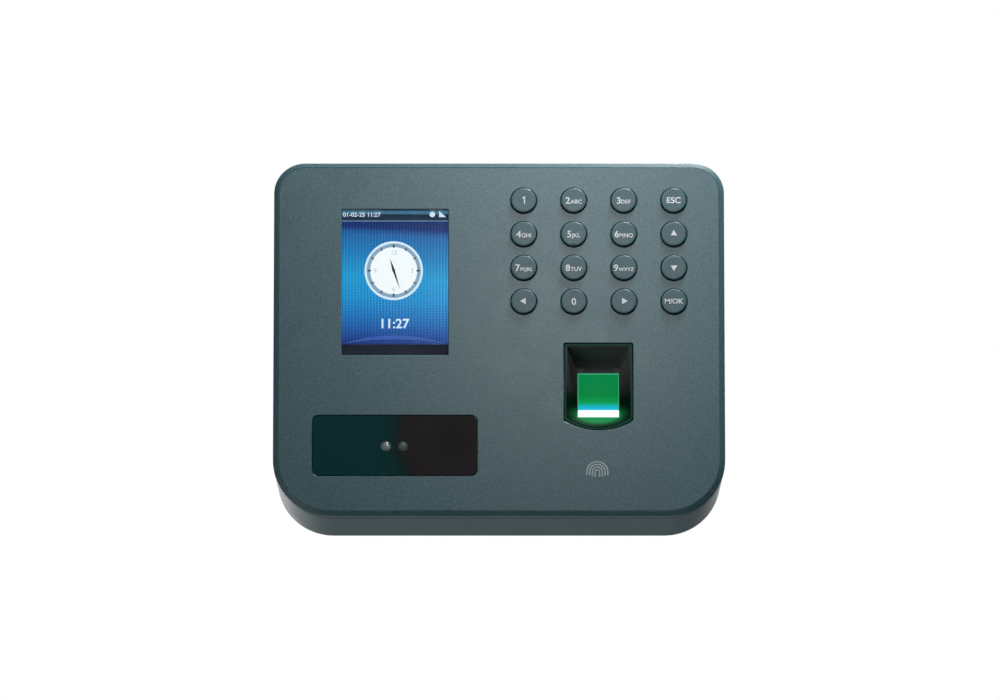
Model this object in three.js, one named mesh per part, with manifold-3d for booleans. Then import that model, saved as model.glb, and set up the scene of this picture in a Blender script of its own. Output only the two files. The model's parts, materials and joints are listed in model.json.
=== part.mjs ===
// Wall-mounted fingerprint terminal, in millimetres.
// +Z is up, the front faces -Y, and the wall is the plane y = 0.
// The origin is the centre of the wall bracket's back face.
import * as THREE from "three";
import { mergeVertices } from "three/addons/utils/BufferGeometryUtils.js";
import Module from "manifold-3d";

const wasm = await Module();
wasm.setup();

// ---- Driving dimensions ----

// Case
const WIDTH = 180;
const HEIGHT = 146.2;
const FRONT = -38;
const TOP_RADIUS = 12.5;
const BOTTOM_RADIUS = 23.5;
const BACK_BOTTOM_RADIUS = 24;
const EDGE = { width: 1.9, slope: 20 * Math.PI / 180, radius: 0.5 };
const WALL = 2.2;
const PLATE = 2.4;
const COVER_INSIDE = FRONT + PLATE;
const COVER_RIM = -34.5;
const HOUSING_RIM = COVER_RIM + 0.4;
const HOUSING_BACK = -0.5;
const FRONT_DRAFT = 0.15;
const BACK_DRAFT = 1.5;
const RECESS_FLOOR = -3;
const RECESS_INSIDE = RECESS_FLOOR - 2.4;
const LIP = { clearance: 0.7, thickness: 1.2, end: COVER_RIM + 2 };

// Gap between pieces that touch, how far joined shapes sink into each other,
// and places clear of the front, the wall and the sides, where cuts start and end.
const GAP = 0.3;
const BITE = 0.4;
const AHEAD = FRONT - 3;
const BEHIND = 1;
const BESIDE = WIDTH / 2 + 5;

// Screws, and the posts, stakes and holes that go with them
const SCREW = { shank: 1.4, tip: 1.1, head: 2.7, headHeight: 1.9 };
const CROSS = { arm: 1.6, half: 0.4, depth: 0.9 };
const SCREW_HOLE = 1.75;
const SCREW_WELL = 3.2;
const CASE_SCREWS = [[81, 62], [-81, 62], [-76, -58], [76, -58]];
const CASE_SCREW_TOP = -5.8;
const CASE_SCREW_LENGTH = 22;
const WELL_FLOOR = -8;
const POST_SPLIT = -20;
const BOSS_RADIUS = 3.25;
const POST_RADIUS = 4.4;
const STAKE = { shoulder: 1.9, pin: 1.1, hole: 1.4, proud: 0.8 };

// Display, from the front: window, frame with the glass and backlight in it
const DISPLAY = { x: -41.6, z: 23.45, width: 42.6, height: 60.5 };
const DISPLAY_SEAT = { margin: 2.2, front: FRONT + 1.2 };
const WINDOW = { width: 46.4, height: 64.3, front: -36.5, back: -35.5 };
const FRAME = { width: 52, height: 72, sheet: 0.8, front: -35.2, floor: -34.7, back: -29.8 };
const GLASS = { width: 49.8, height: 69.8, front: -34.4, back: -32.8 };
const BACKLIGHT = { front: -32.5, back: -30.2 };

// Camera window and the board behind it
const CAMERA = { x: -41.5, z: -44.15, width: 65.5, height: 24.7, radius: 2.5 };
const CAMERA_PANE = { front: FRONT + 0.1, back: FRONT + 1.5 };
const CAMERA_SEAT = FRONT + 1.8;
const CAMERA_LEDGE = 2;
const LENS_Z = CAMERA.z - 0.15;
const LENS_OFFSETS = [-3.5, 3.3];
const LENS_MOUNT = -33;
const EMITTER_OFFSET = 22;
const CAMERA_BOARD = { width: 70, height: 19, front: -31.5, back: -29.9 };
const CAMERA_STAKES = [[CAMERA.x - 33.4, CAMERA.z], [CAMERA.x + 33.4, CAMERA.z]];

// Keypad
const KEY_COLUMNS = [9.85, 29.85, 49.85, 69.85];
const KEY_ROWS = [57.3, 43.3, 29.3, 15.3];
const KEY_NAMES = [
  ["key_1", "key_2", "key_3", "key_escape"],
  ["key_4", "key_5", "key_6", "key_up"],
  ["key_7", "key_8", "key_9", "key_down"],
  ["key_left", "key_0", "key_right", "key_ok"],
];
const KEY = { radius: 5, flange: 6.2, stem: 2, round: 0.4, flangeFront: 3.7, flangeBack: 4.7, stemEnd: 5.7 };
const KEY_PROUD = 1;
const KEYPAD_BOARD = { front: -30.7, back: -29.1 };
const KEYPAD_EDGES = { left: -1, right: 77, bottom: 8.5, top: 64 };
const KEYPAD_STAKES = [[1.2, 11], [1.2, 61.5], [60, 22.3], [60, 50.3]];
const MAT = { left: 3.5, margin: 1, front: -32.3, stakeHole: 2.3 };
const DOME = { radius: 4, top: 3, front: -33 };

// Fingerprint reader
const READER = { x: 39.6, halfWidth: 13.9, top: -1.7, sideEnd: -33.9, sag: 4 };
const BEZEL = { front: FRONT + 0.2, back: -28, lip: 1.1 };
const BEZEL_FLANGE = { grow: 2.5, front: -35.3, back: -34.1 };
const BEZEL_FLOOR = { grow: 0.5, top: -6.6, below: 0.4, sag: 0.8, behindGlass: 0.4 };
const GLASS_HALF_WIDTH = 8.2;
const GLASS_TOP = { y: -30, z: -12.1 };
const GLASS_SLOPE = 0.242;
const GLASS_END = -28.2;
const PRISM_BACK = -25;
const LIGHT_BAR = { end: -31.3, back: -26 };
const SENSOR = { z: -23, housing: 26, housingBack: -21.3, pocketBack: -22.3, board: 28 };
const SENSOR_BOARD = { front: -21, back: -19.8 };
const SENSOR_LENS = { z: -20, radius: 3, front: -24.6, back: -22.7 };

// Main board and what stands on each side of it
const MAIN_BOARD = { front: -18.6, back: -17, left: -74, right: 72, bottom: -51, top: 55 };
const BOARD_TAB = { left: 60, right: 85.5, bottom: -42, top: -12 };
const MAIN_STAKES = [[-68, 50], [66, 48], [-68, -46], [58, -46]];
const MAIN_STAKE_RADIUS = 2.6;
const ON_FRONT = MAIN_BOARD.front - GAP;
const ON_BACK = MAIN_BOARD.back + GAP;
const SHIELD = { x: -45, z: 30, width: 32, height: 30, depth: 3 };
const RELAY = { x: 5, z: -42, width: 20, height: 10.5, depth: 10.4 };
const COIN_CELL = { x: 40, z: 34, radius: 10, front: -23.6, back: -20.1 };
const CLIP = { width: 14, base: 0.8, arm: 8, claw: 4, clawFront: -24.8, clawBack: -24 };
const DISPLAY_RIBBON = { width: 16, from: -8, to: 4 };
const KEYPAD_RIBBON = { x: 10, width: 12, from: 14, to: 2 };
const RIBBON_HALF = 0.2;

// Sockets, buttons and speaker in the housing's walls
const USB = { z: -20, width: 13.1, height: 5.7, inner: 75.8, mouth: 88.9, sheet: 0.35 };
const ETHERNET = { left: -26, right: -10, front: -16.7, back: -4.5, bottom: -19 };
const POWER_JACK = { half: 5, back: -6.2, bottom: -18, y: -11.4, well: 3.2, pin: 1 };
const TERMINALS = { left: 8.5, pitch: 5, ways: 6, back: -6.4, bottom: -16 };
const SOCKET_TOP = -4;
const SIDE_BUTTON = { y: -13.8, z: -36, radius: 1.3, collar: 2.4, hole: 1.7, inner: 83.4, outer: 88.7 };
const RESET_SWITCH = { inner: 78, outer: 82.5, half: 3, back: -11 };
const TAMPER = { x: -25, z: 30, stem: 2, collar: 3.6, hole: 2.4, front: -12.4, collarFront: -6.9 };
const TAMPER_SWITCH = { size: 7, back: -13.6 };
const SPEAKER = { y: -19, z: 5, radius: 9.5, magnet: 5.5, rim: -86.1, basket: -82.5, end: -79.5 };
const CONE_X = -83.7;
const SPEAKER_SLOTS = { steps: [-6, -3, 0, 3, 6], half: 0.7, halfLength: 7 };

// Wall bracket, and the spaces in the housing that it fits
const BRACKET = { width: 120, height: 90, thickness: 1.5, radius: 3 };
const BRACKET_CLEARANCE = 2;
const TONGUE = { halfWidth: 12, top: 67.4, reach: -12, sideClearance: 1, topClearance: 0.6 };
const LOCK_SCREW = { y: -6, top: 71.2, length: 8, wellFloor: 69 };
const LOCK_PAD = { halfWidth: 7, front: -13, top: 72 };
const BAY = { left: -28, right: 40, bottom: -44, top: -2 };
const CABLE_HOLE = { left: -22, right: 36, bottom: -42, top: -22, radius: 3 };
const WALL_HOLES = [[45, 30], [-45, 30], [45, -30], [-45, -30]];
const WALL_HOLE_RADIUS = 2.25;
const HOOKS = [[50, 41.2], [-50, 41.2], [50, -35], [-50, -35]];
const HOOK = { width: 8, reach: -8, height: 5.8, sideClearance: 1, above: 1.8, below: 5.7 };

// ---- Solids ----

// A closed solid from a three.js geometry, with its shared vertices merged.
function solid(geometry) {
  const flat = geometry.index ? geometry.toNonIndexed() : geometry;
  const bare = new THREE.BufferGeometry();
  bare.setAttribute("position", flat.getAttribute("position"));
  const { attributes, index } = mergeVertices(bare, 1e-4);
  return new wasm.Manifold(new wasm.Mesh({
    numProp: 3,
    vertProperties: new Float32Array(attributes.position.array),
    triVerts: new Uint32Array(index.array),
  }));
}

function geometryOf(body) {
  const { vertProperties, triVerts } = body.getMesh();
  const geometry = new THREE.BufferGeometry();
  geometry.setAttribute("position", new THREE.BufferAttribute(vertProperties, 3));
  geometry.setIndex(new THREE.BufferAttribute(triVerts, 1));
  geometry.computeVertexNormals();
  return geometry;
}

const join = (bodies) => bodies.reduce((all, body) => all.add(body));
const cut = (body, tools) => tools.reduce((rest, tool) => rest.subtract(tool), body);

// A block between its lowest and highest corners.
function block([x0, y0, z0], [x1, y1, z1]) {
  const geometry = new THREE.BoxGeometry(x1 - x0, y1 - y0, z1 - z0);
  return solid(geometry.translate((x0 + x1) / 2, (y0 + y1) / 2, (z0 + z1) / 2));
}

// A block given by its centre and size in X and Z, from y0 back to y1.
function slab(x, z, width, height, y0, y1) {
  return block([x - width / 2, y0, z - height / 2], [x + width / 2, y1, z + height / 2]);
}

// Round bars along each axis, from one end to the other.
function rodY(x, z, radius, y0, y1, segments = 16, farRadius = radius) {
  const geometry = new THREE.CylinderGeometry(farRadius, radius, y1 - y0, segments);
  return solid(geometry.translate(x, (y0 + y1) / 2, z));
}

function rodX(y, z, radius, x0, x1, segments = 16) {
  const geometry = new THREE.CylinderGeometry(radius, radius, x1 - x0, segments);
  return solid(geometry.rotateZ(-Math.PI / 2).translate((x0 + x1) / 2, y, z));
}

function rodZ(x, y, radius, z0, z1, segments = 16) {
  const geometry = new THREE.CylinderGeometry(radius, radius, z1 - z0, segments);
  return solid(geometry.rotateX(Math.PI / 2).translate(x, y, (z0 + z1) / 2));
}

// A rectangle with round corners in the XZ plane, from y0 back to y1.
function roundedSlab(x, z, width, height, radius, y0, y1) {
  const [w, h] = [width / 2 - radius, height / 2 - radius];
  const shape = new THREE.Shape();
  shape.absarc(w, h, radius, 0, Math.PI / 2);
  shape.absarc(-w, h, radius, Math.PI / 2, Math.PI);
  shape.absarc(-w, -h, radius, Math.PI, Math.PI * 1.5);
  shape.absarc(w, -h, radius, Math.PI * 1.5, Math.PI * 2);
  const options = { depth: y1 - y0, bevelEnabled: false, curveSegments: 4 };
  const geometry = new THREE.ExtrudeGeometry(shape, options);
  return solid(geometry.rotateX(Math.PI / 2).translate(x, y1, z));
}

// A profile in the YZ plane, carried along X from x0 to x1.
function profileX(points, x0, x1) {
  const shape = new THREE.Shape(points.map(([y, z]) => new THREE.Vector2(y, z)));
  const geometry = new THREE.ExtrudeGeometry(shape, { depth: x1 - x0, bevelEnabled: false });
  const turn = new THREE.Matrix4().makeBasis(
    new THREE.Vector3(0, 1, 0), new THREE.Vector3(0, 0, 1), new THREE.Vector3(1, 0, 0));
  return solid(geometry.applyMatrix4(turn).translate(x0, 0, 0));
}

// A solid through convex outlines that go anticlockwise seen from the front, front one first.
// Each ring has its points as [x, z] and its y, a number or a function of z.
function loft(rings) {
  const count = rings[0].points.length;
  const positions = rings.flatMap(({ points, y }) =>
    points.flatMap(([x, z]) => [x, typeof y === "function" ? y(z) : y, z]));
  const index = [];
  for (let i = 1; i < count - 1; i++) {
    const last = (rings.length - 1) * count;
    index.push(0, i, i + 1);
    index.push(last, last + i + 1, last + i);
  }
  for (let ring = 0; ring < rings.length - 1; ring++) {
    for (let i = 0; i < count; i++) {
      const [a, b] = [ring * count + i, ring * count + (i + 1) % count];
      index.push(a, a + count, b + count);
      index.push(a, b + count, b);
    }
  }
  const geometry = new THREE.BufferGeometry();
  geometry.setAttribute("position", new THREE.Float32BufferAttribute(positions, 3));
  geometry.setIndex(index);
  return solid(geometry);
}

// ---- Case ----

// The case's outline, set in by a distance.
function caseOutline(inset, bottomRadius = BOTTOM_RADIUS) {
  const corners = [
    [1, 1, TOP_RADIUS], [-1, 1, TOP_RADIUS], [-1, -1, bottomRadius], [1, -1, bottomRadius],
  ];
  const steps = 7;
  return corners.flatMap(([sideX, sideZ, radius], corner) =>
    Array.from({ length: steps + 1 }, (_, step) => {
      const angle = (corner + step / steps) * Math.PI / 2;
      const x = sideX * (WIDTH / 2 - radius) + (radius - inset) * Math.cos(angle);
      const z = sideZ * (HEIGHT / 2 - radius) + (radius - inset) * Math.sin(angle);
      return [x, z];
    }));
}

// The finger opening's outline: square shoulders, straight sides and an arc at the bottom.
function readerOutline(grow, shape = READER) {
  const halfWidth = shape.halfWidth + grow;
  const sag = shape.sag;
  const arcRadius = (halfWidth ** 2 + sag ** 2) / (2 * sag);
  const arcCentre = shape.sideEnd - grow - sag + arcRadius;
  const reach = Math.asin(halfWidth / arcRadius);
  const steps = 10;
  const arc = Array.from({ length: steps + 1 }, (_, step) => {
    const angle = -reach + 2 * reach * step / steps;
    return [READER.x + arcRadius * Math.sin(angle), arcCentre - arcRadius * Math.cos(angle)];
  });
  const top = shape.top + grow;
  return [...arc, [READER.x + halfWidth, top], [READER.x - halfWidth, top]];
}

const readerPrism = (grow, y0, y1) =>
  loft([{ points: readerOutline(grow), y: y0 }, { points: readerOutline(grow), y: y1 }]);

const keyPlaces = KEY_ROWS.flatMap((z, row) =>
  KEY_COLUMNS.map((x, column) => ({ x, z, name: KEY_NAMES[row][column] })));

// A stepped peg on the cover that carries a board: its shoulder stops short of the board
// and its pin goes through.
function stake([x, z], { front, back }) {
  const root = COVER_INSIDE - BITE;
  return [
    rodY(x, z, STAKE.shoulder, root, front - GAP, 12),
    rodY(x, z, STAKE.pin, root, back + STAKE.proud, 12),
  ];
}

const stakeHoles = (places, { front, back }, radius = STAKE.hole) =>
  places.map(([x, z]) => rodY(x, z, radius, front - 1, back + 1, 12));

// The cover's edge: a shallow slope outside the crease round its face, rounded into its side.
function coverEdge() {
  const { width, slope, radius } = EDGE;
  const slopeWidth = width - radius * (1 - Math.sin(slope));
  const slopeDepth = slopeWidth * Math.tan(slope);
  const steps = 2;
  const round = Array.from({ length: steps + 1 }, (_, step) => {
    const angle = slope + (Math.PI / 2 - slope) * step / steps;
    const depth = slopeDepth + radius * (Math.cos(slope) - Math.cos(angle));
    return { points: caseOutline(radius * (1 - Math.sin(angle))), y: FRONT + depth };
  });
  return [{ points: caseOutline(width), y: FRONT }, ...round];
}

function frontCover() {
  const ring = (inset, y0, y1) =>
    loft([{ points: caseOutline(inset), y: y0 }, { points: caseOutline(inset), y: y1 }]);
  const shell = loft([...coverEdge(), { points: caseOutline(0), y: COVER_RIM }])
    .subtract(ring(WALL, COVER_INSIDE, BEHIND));
  const lipOutside = WALL + LIP.clearance;
  const lip = ring(lipOutside, COVER_INSIDE - BITE, LIP.end)
    .subtract(ring(lipOutside + LIP.thickness, AHEAD, BEHIND));
  const bosses = CASE_SCREWS.map(([x, z]) => rodY(x, z, BOSS_RADIUS, COVER_INSIDE - BITE, POST_SPLIT));
  const stakes = [
    ...KEYPAD_STAKES.flatMap((place) => stake(place, KEYPAD_BOARD)),
    ...CAMERA_STAKES.flatMap((place) => stake(place, CAMERA_BOARD)),
  ];
  return cut(join([shell, lip, ...bosses, ...stakes]), [
    ...CASE_SCREWS.map(([x, z]) => rodY(x, z, SCREW_HOLE, COVER_INSIDE + 2, BEHIND, 12)),
    ...keyPlaces.map(({ x, z }) => rodY(x, z, KEY.radius + GAP, AHEAD, LIP.end, 20)),
    ...displayCuts(),
    ...cameraCuts(),
    readerPrism(0, AHEAD, LIP.end),
  ]);
}

function displayCuts() {
  const { x, z, width, height } = DISPLAY;
  const { margin, front } = DISPLAY_SEAT;
  return [
    slab(x, z, width, height, AHEAD, COVER_RIM),
    slab(x, z, width + 2 * margin, height + 2 * margin, front, COVER_RIM),
  ];
}

function cameraCuts() {
  const { x, z, width, height, radius } = CAMERA;
  return [
    roundedSlab(x, z, width + 2 * GAP, height + 2 * GAP, radius, AHEAD, CAMERA_SEAT),
    slab(x, z, width - 2 * CAMERA_LEDGE, height - 2 * CAMERA_LEDGE, AHEAD, COVER_RIM),
  ];
}

// A stretch of the rear housing's drafted outside, set in by a distance.
function housingBody(inset, y0, y1) {
  const rings = [y0, y1].map((y) => {
    const share = (y - HOUSING_RIM) / (HOUSING_BACK - HOUSING_RIM);
    const draft = FRONT_DRAFT + (BACK_DRAFT - FRONT_DRAFT) * share;
    const bottomRadius = BOTTOM_RADIUS + (BACK_BOTTOM_RADIUS - BOTTOM_RADIUS) * share;
    return { points: caseOutline(inset + draft, bottomRadius), y };
  });
  return loft(rings);
}

// The space in the housing's back that takes the bracket and its tongue, grown by a margin.
function bracketSpace(grow, depth) {
  const halfWidth = BRACKET.width / 2 + BRACKET_CLEARANCE + grow;
  const halfHeight = BRACKET.height / 2 + BRACKET_CLEARANCE + grow;
  const tongue = TONGUE.halfWidth + TONGUE.sideClearance + grow;
  const top = TONGUE.top + TONGUE.topClearance + grow;
  return block([-halfWidth, depth, -halfHeight], [halfWidth, BEHIND, halfHeight])
    .add(block([-tongue, depth, 0], [tongue, BEHIND, top]));
}

function speakerSlots() {
  const { steps, half, halfLength } = SPEAKER_SLOTS;
  return steps.map((step) => {
    const y = SPEAKER.y + step;
    return block([-BESIDE, y - half, SPEAKER.z - halfLength], [-80, y + half, SPEAKER.z + halfLength]);
  });
}

// The housing's inner posts and stakes, and the pad that the lock screw goes through.
function housingPosts() {
  const root = HOUSING_BACK - 1;
  const posts = CASE_SCREWS.map(([x, z]) => rodY(x, z, POST_RADIUS, POST_SPLIT + GAP, HOUSING_BACK));
  const stakes = MAIN_STAKES.flatMap(([x, z]) => [
    rodY(x, z, MAIN_STAKE_RADIUS, ON_BACK, root, 12),
    rodY(x, z, STAKE.pin, MAIN_BOARD.front - STAKE.proud, root, 12),
  ]);
  const { halfWidth, front, top } = LOCK_PAD;
  const lockPad = block([-halfWidth, front, TONGUE.top + GAP], [halfWidth, -1, top]);
  return join([...posts, ...stakes, lockPad]).intersect(housingBody(0.5, HOUSING_RIM, HOUSING_BACK));
}

// Openings through the housing's back for the hooks, the tongue's tab and the wires.
function bracketWays() {
  const tabHalf = TONGUE.halfWidth + TONGUE.sideClearance;
  const hookHalf = HOOK.width / 2 + HOOK.sideClearance;
  return [
    block([BAY.left, WELL_FLOOR, BAY.bottom], [BAY.right, BEHIND, BAY.top]),
    ...HOOKS.map(([x, z]) => block(
      [x - hookHalf, WELL_FLOOR, z - HOOK.below], [x + hookHalf, BEHIND, z + HOOK.above])),
    block([-tabHalf, WELL_FLOOR, TONGUE.top - BRACKET.thickness - TONGUE.topClearance],
      [tabHalf, BEHIND, TONGUE.top + TONGUE.topClearance]),
  ];
}

// The USB port's and the reset button's openings in the right side.
function sideOpenings() {
  const half = USB.width / 2 + GAP;
  const [front, back] = [ON_BACK - GAP, ON_BACK + USB.height + GAP];
  return [
    block([80, front, USB.z - half], [BESIDE, back, USB.z + half]),
    rodX(SIDE_BUTTON.y, SIDE_BUTTON.z, SIDE_BUTTON.hole, 82, BESIDE, 12),
  ];
}

function rearHousing() {
  const hollow = housingBody(WALL, HOUSING_RIM - 0.1, HOUSING_BACK - WALL)
    .subtract(bracketSpace(WALL, RECESS_INSIDE));
  const shell = housingBody(0, HOUSING_RIM, HOUSING_BACK).subtract(hollow);
  return cut(shell.add(housingPosts()), [
    bracketSpace(0, RECESS_FLOOR),
    ...CASE_SCREWS.map(([x, z]) => rodY(x, z, SCREW_WELL, WELL_FLOOR, BEHIND)),
    ...CASE_SCREWS.map(([x, z]) => rodY(x, z, SCREW_HOLE, POST_SPLIT - 5, BEHIND, 12)),
    ...bracketWays(),
    rodZ(0, LOCK_SCREW.y, SCREW_HOLE, 60, 80, 12),
    rodZ(0, LOCK_SCREW.y, SCREW_WELL, LOCK_SCREW.wellFloor, 80),
    rodY(TAMPER.x, TAMPER.z, TAMPER.hole, WELL_FLOOR, BEHIND),
    ...speakerSlots(),
    ...sideOpenings(),
  ]);
}

// A machine screw with its head's outside at z = 0, pointing along -Z.
function screw(length) {
  const { shank, tip, head, headHeight } = SCREW;
  const { arm, half, depth } = CROSS;
  const profile = [
    [0, -length], [tip, -length], [shank, -length + 0.6], [shank, -headHeight],
    [head, -headHeight], [head, -0.4], [head - 0.4, 0], [0, 0],
  ];
  const cross = [[arm, half], [half, arm]];
  return cut(solid(lathe(profile, 12)), cross.map(([x, y]) => block([-x, -y, -depth], [x, y, 1])));
}

// A turned shape about the Y axis stood up about Z, from a profile of [radius, height].
function lathe(profile, segments) {
  const points = profile.map(([radius, height]) => new THREE.Vector2(radius, height));
  return new THREE.LatheGeometry(points, segments).rotateX(Math.PI / 2);
}

// ---- Wall bracket ----

function wallBracket() {
  const { width, height, thickness, radius } = BRACKET;
  const { halfWidth, top, reach } = TONGUE;
  const plate = roundedSlab(0, 0, width, height, radius, -thickness, 0);
  const tongue = block([-halfWidth, -thickness, height / 2 - 5], [halfWidth, 0, top]);
  const tab = block([-halfWidth, reach, top - thickness], [halfWidth, 0, top]);
  const half = HOOK.width / 2;
  const hooks = HOOKS.flatMap(([x, z]) => [
    block([x - half, HOOK.reach, z], [x + half, 0, z + thickness]),
    block([x - half, HOOK.reach, z], [x + half, HOOK.reach + thickness, z + HOOK.height]),
  ]);
  const { left, right, bottom, top: holeTop } = CABLE_HOLE;
  const cableHole = roundedSlab((left + right) / 2, (bottom + holeTop) / 2,
    right - left, holeTop - bottom, CABLE_HOLE.radius, WELL_FLOOR, BEHIND);
  return cut(join([plate, tongue, tab, ...hooks]), [
    cableHole,
    ...WALL_HOLES.map(([x, z]) => rodY(x, z, WALL_HOLE_RADIUS, WELL_FLOOR, BEHIND)),
    rodZ(0, LOCK_SCREW.y, SCREW_HOLE + 0.05, 60, 80, 12),
  ]);
}

// ---- Display ----

// A flat ribbon cable that leaves along Y, steps across in Z and goes on along Y.
function ribbon(x, width, [y0, z0], [y1, z1]) {
  const half = RIBBON_HALF;
  const lean = half * Math.sign(z0 - z1);
  const middle = (y0 + y1) / 2;
  const above = [
    [y0, z0 + half], [middle + lean, z0 + half], [middle + lean, z1 + half], [y1, z1 + half],
  ];
  const below = [
    [y1, z1 - half], [middle - lean, z1 - half], [middle - lean, z0 - half], [y0, z0 - half],
  ];
  return profileX([...above, ...below].reverse(), x - width / 2, x + width / 2);
}

function displayFrame() {
  const { width, height, sheet, front, floor, back } = FRAME;
  const { x, z } = DISPLAY;
  return cut(slab(x, z, width, height, front, back), [
    slab(x, z, width - 2 * sheet, height - 2 * sheet, floor, 0),
    slab(x, z, DISPLAY.width + 1, DISPLAY.height + 1, AHEAD, back - 0.2),
  ]);
}

// ---- Cameras ----

function cameraBoard() {
  const { width, height, front, back } = CAMERA_BOARD;
  const board = slab(CAMERA.x, CAMERA.z, width, height, front, back);
  return cut(board, stakeHoles(CAMERA_STAKES, CAMERA_BOARD));
}

// A camera with its barrel's root near the origin, looking along -Y.
function cameraModule() {
  const half = 3;
  const body = block([-half, -1.5, -half], [half, 1.1, half]);
  const barrel = rodY(0, 0, 2.8, -2.8, -1.4, 20);
  const bell = rodY(0, 0, 1.6, -4, -2.4, 20, 1);
  return body.add(barrel).subtract(bell);
}

// A round emitter with a domed lens, its base at the origin, facing -Y.
function emitter() {
  const profile = [[0, 0], [2.9, 0], [2.9, 0.8], [2.5, 0.8], [2.5, 2.2], [1.8, 3.4], [0, 3.8]];
  return solid(lathe(profile, 14).rotateX(Math.PI / 2));
}

// ---- Keypad ----

// One key with the middle of its front at the origin, its stem pointing back along +Y.
function keyCap() {
  const { radius, flange, stem, round, flangeFront, flangeBack, stemEnd } = KEY;
  const profile = [
    [0, 0], [radius - round, 0], [radius, round], [radius, flangeFront], [flange, flangeFront],
    [flange, flangeBack], [stem, flangeBack], [stem, stemEnd], [0, stemEnd],
  ];
  const points = profile.map(([across, along]) => new THREE.Vector2(across, along));
  return solid(new THREE.LatheGeometry(points, 16));
}

function keypadMat() {
  const { right, bottom, top } = KEYPAD_EDGES;
  const { left, margin, front, stakeHole } = MAT;
  const back = KEYPAD_BOARD.front - GAP;
  const sheet = block([left, front, bottom + margin], [right - margin, back, top - margin]);
  const domes = keyPlaces.map(({ x, z }) =>
    rodY(x, z, DOME.top, DOME.front, front + GAP, 12, DOME.radius));
  return cut(join([sheet, ...domes]), stakeHoles(KEYPAD_STAKES, { front: DOME.front, back }, stakeHole));
}

function keypadBoard() {
  const { left, right, bottom, top } = KEYPAD_EDGES;
  const board = block([left, KEYPAD_BOARD.front, bottom], [right, KEYPAD_BOARD.back, top]);
  return cut(board, stakeHoles(KEYPAD_STAKES, KEYPAD_BOARD));
}

// ---- Fingerprint reader ----

// The slanted plane that the glass lies in: how far back it is at each height.
const glassPlane = (z) => GLASS_TOP.y + GLASS_SLOPE * (z - GLASS_TOP.z);

// The block that the prism and light bar pass through, with a gap all round.
function prismWay(front, back) {
  const half = GLASS_HALF_WIDTH + GAP;
  const [bottom, top] = [LIGHT_BAR.end - GAP, GLASS_TOP.z + GAP];
  return block([READER.x - half, front, bottom], [READER.x + half, back, top]);
}

function fingerprintBezel() {
  const flange = readerPrism(BEZEL_FLANGE.grow, BEZEL_FLANGE.front, BEZEL_FLANGE.back);
  const body = readerPrism(-GAP, BEZEL.front, BEZEL.back).add(flange);
  const { grow, top, below, sag, behindGlass } = BEZEL_FLOOR;
  const floor = { halfWidth: GLASS_HALF_WIDTH + grow, top, sideEnd: LIGHT_BAR.end - below, sag };
  const mouth = loft([
    { points: readerOutline(-GAP - BEZEL.lip), y: BEZEL.front - 0.1 },
    { points: readerOutline(0, floor), y: (z) => glassPlane(z) + behindGlass },
  ]);
  return cut(body, [mouth, prismWay(BEZEL.front, 0)]);
}

function fingerprintPrism() {
  const { y, z } = GLASS_TOP;
  const points = [[y, z], [glassPlane(GLASS_END), GLASS_END], [PRISM_BACK, GLASS_END], [PRISM_BACK, z]];
  return profileX(points, READER.x - GLASS_HALF_WIDTH, READER.x + GLASS_HALF_WIDTH);
}

function sensorLightBar() {
  const top = GLASS_END - GAP;
  const { end, back } = LIGHT_BAR;
  const points = [[glassPlane(top), top], [glassPlane(end), end], [back, end], [back, top]];
  return profileX(points, READER.x - GLASS_HALF_WIDTH, READER.x + GLASS_HALF_WIDTH);
}

function sensorHousing() {
  const { z, housing, housingBack, pocketBack } = SENSOR;
  const body = slab(READER.x, z, housing, housing, BEZEL.back + GAP, housingBack);
  return body.subtract(prismWay(FRONT, pocketBack));
}

// ---- Main board ----

function mainBoard() {
  const { front, back, left, right, bottom, top } = MAIN_BOARD;
  const tab = block([BOARD_TAB.left, front, BOARD_TAB.bottom], [BOARD_TAB.right, back, BOARD_TAB.top]);
  const body = block([left, front, bottom], [right, back, top]).add(tab);
  return cut(body, stakeHoles(MAIN_STAKES, MAIN_BOARD));
}

function coinCellClip() {
  const { x, z, radius } = COIN_CELL;
  const { width, base, arm, claw, clawFront, clawBack } = CLIP;
  const foot = slab(x, z, width, 2 * radius + 3, ON_FRONT - base, ON_FRONT);
  const ends = [-1, 1].flatMap((side) => [
    slab(x, z + side * (radius + 1), arm, 1, clawBack - 0.5, ON_FRONT - 0.1),
    slab(x, z + side * (radius - 0.5), arm, claw, clawFront, clawBack),
  ]);
  return join([foot, ...ends]);
}

function speakerFrame() {
  const { y, z, radius, magnet, rim, basket, end } = SPEAKER;
  const body = rodX(y, z, radius, rim, basket, 24).add(rodX(y, z, magnet, basket - 0.5, end, 20));
  return body.subtract(rodX(y, z, radius - 1.2, -BESIDE, basket - 0.9, 24));
}

// A shallow dished cone with its rim towards -X.
function speakerCone() {
  const profile = [[0, 0.4], [3, 0], [7.9, 1.7], [7.9, 2], [3, 0.6], [0, 1]];
  return solid(lathe(profile, 20).rotateY(-Math.PI / 2));
}

function usbPort() {
  const { z, width, height, inner, mouth, sheet } = USB;
  const [bottom, top] = [z - width / 2, z + width / 2];
  const [front, back] = [ON_BACK, ON_BACK + height];
  const shell = block([inner, front, bottom], [mouth, back, top]);
  const hollow = block([inner + 2.7, front + sheet, bottom + sheet], [BESIDE, back - sheet, top - sheet]);
  const tongue = block([inner + 2.2, front + 0.5, bottom + 1.2], [mouth - 0.9, front + 2.1, top - 1.2]);
  return shell.subtract(hollow).add(tongue);
}

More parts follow.
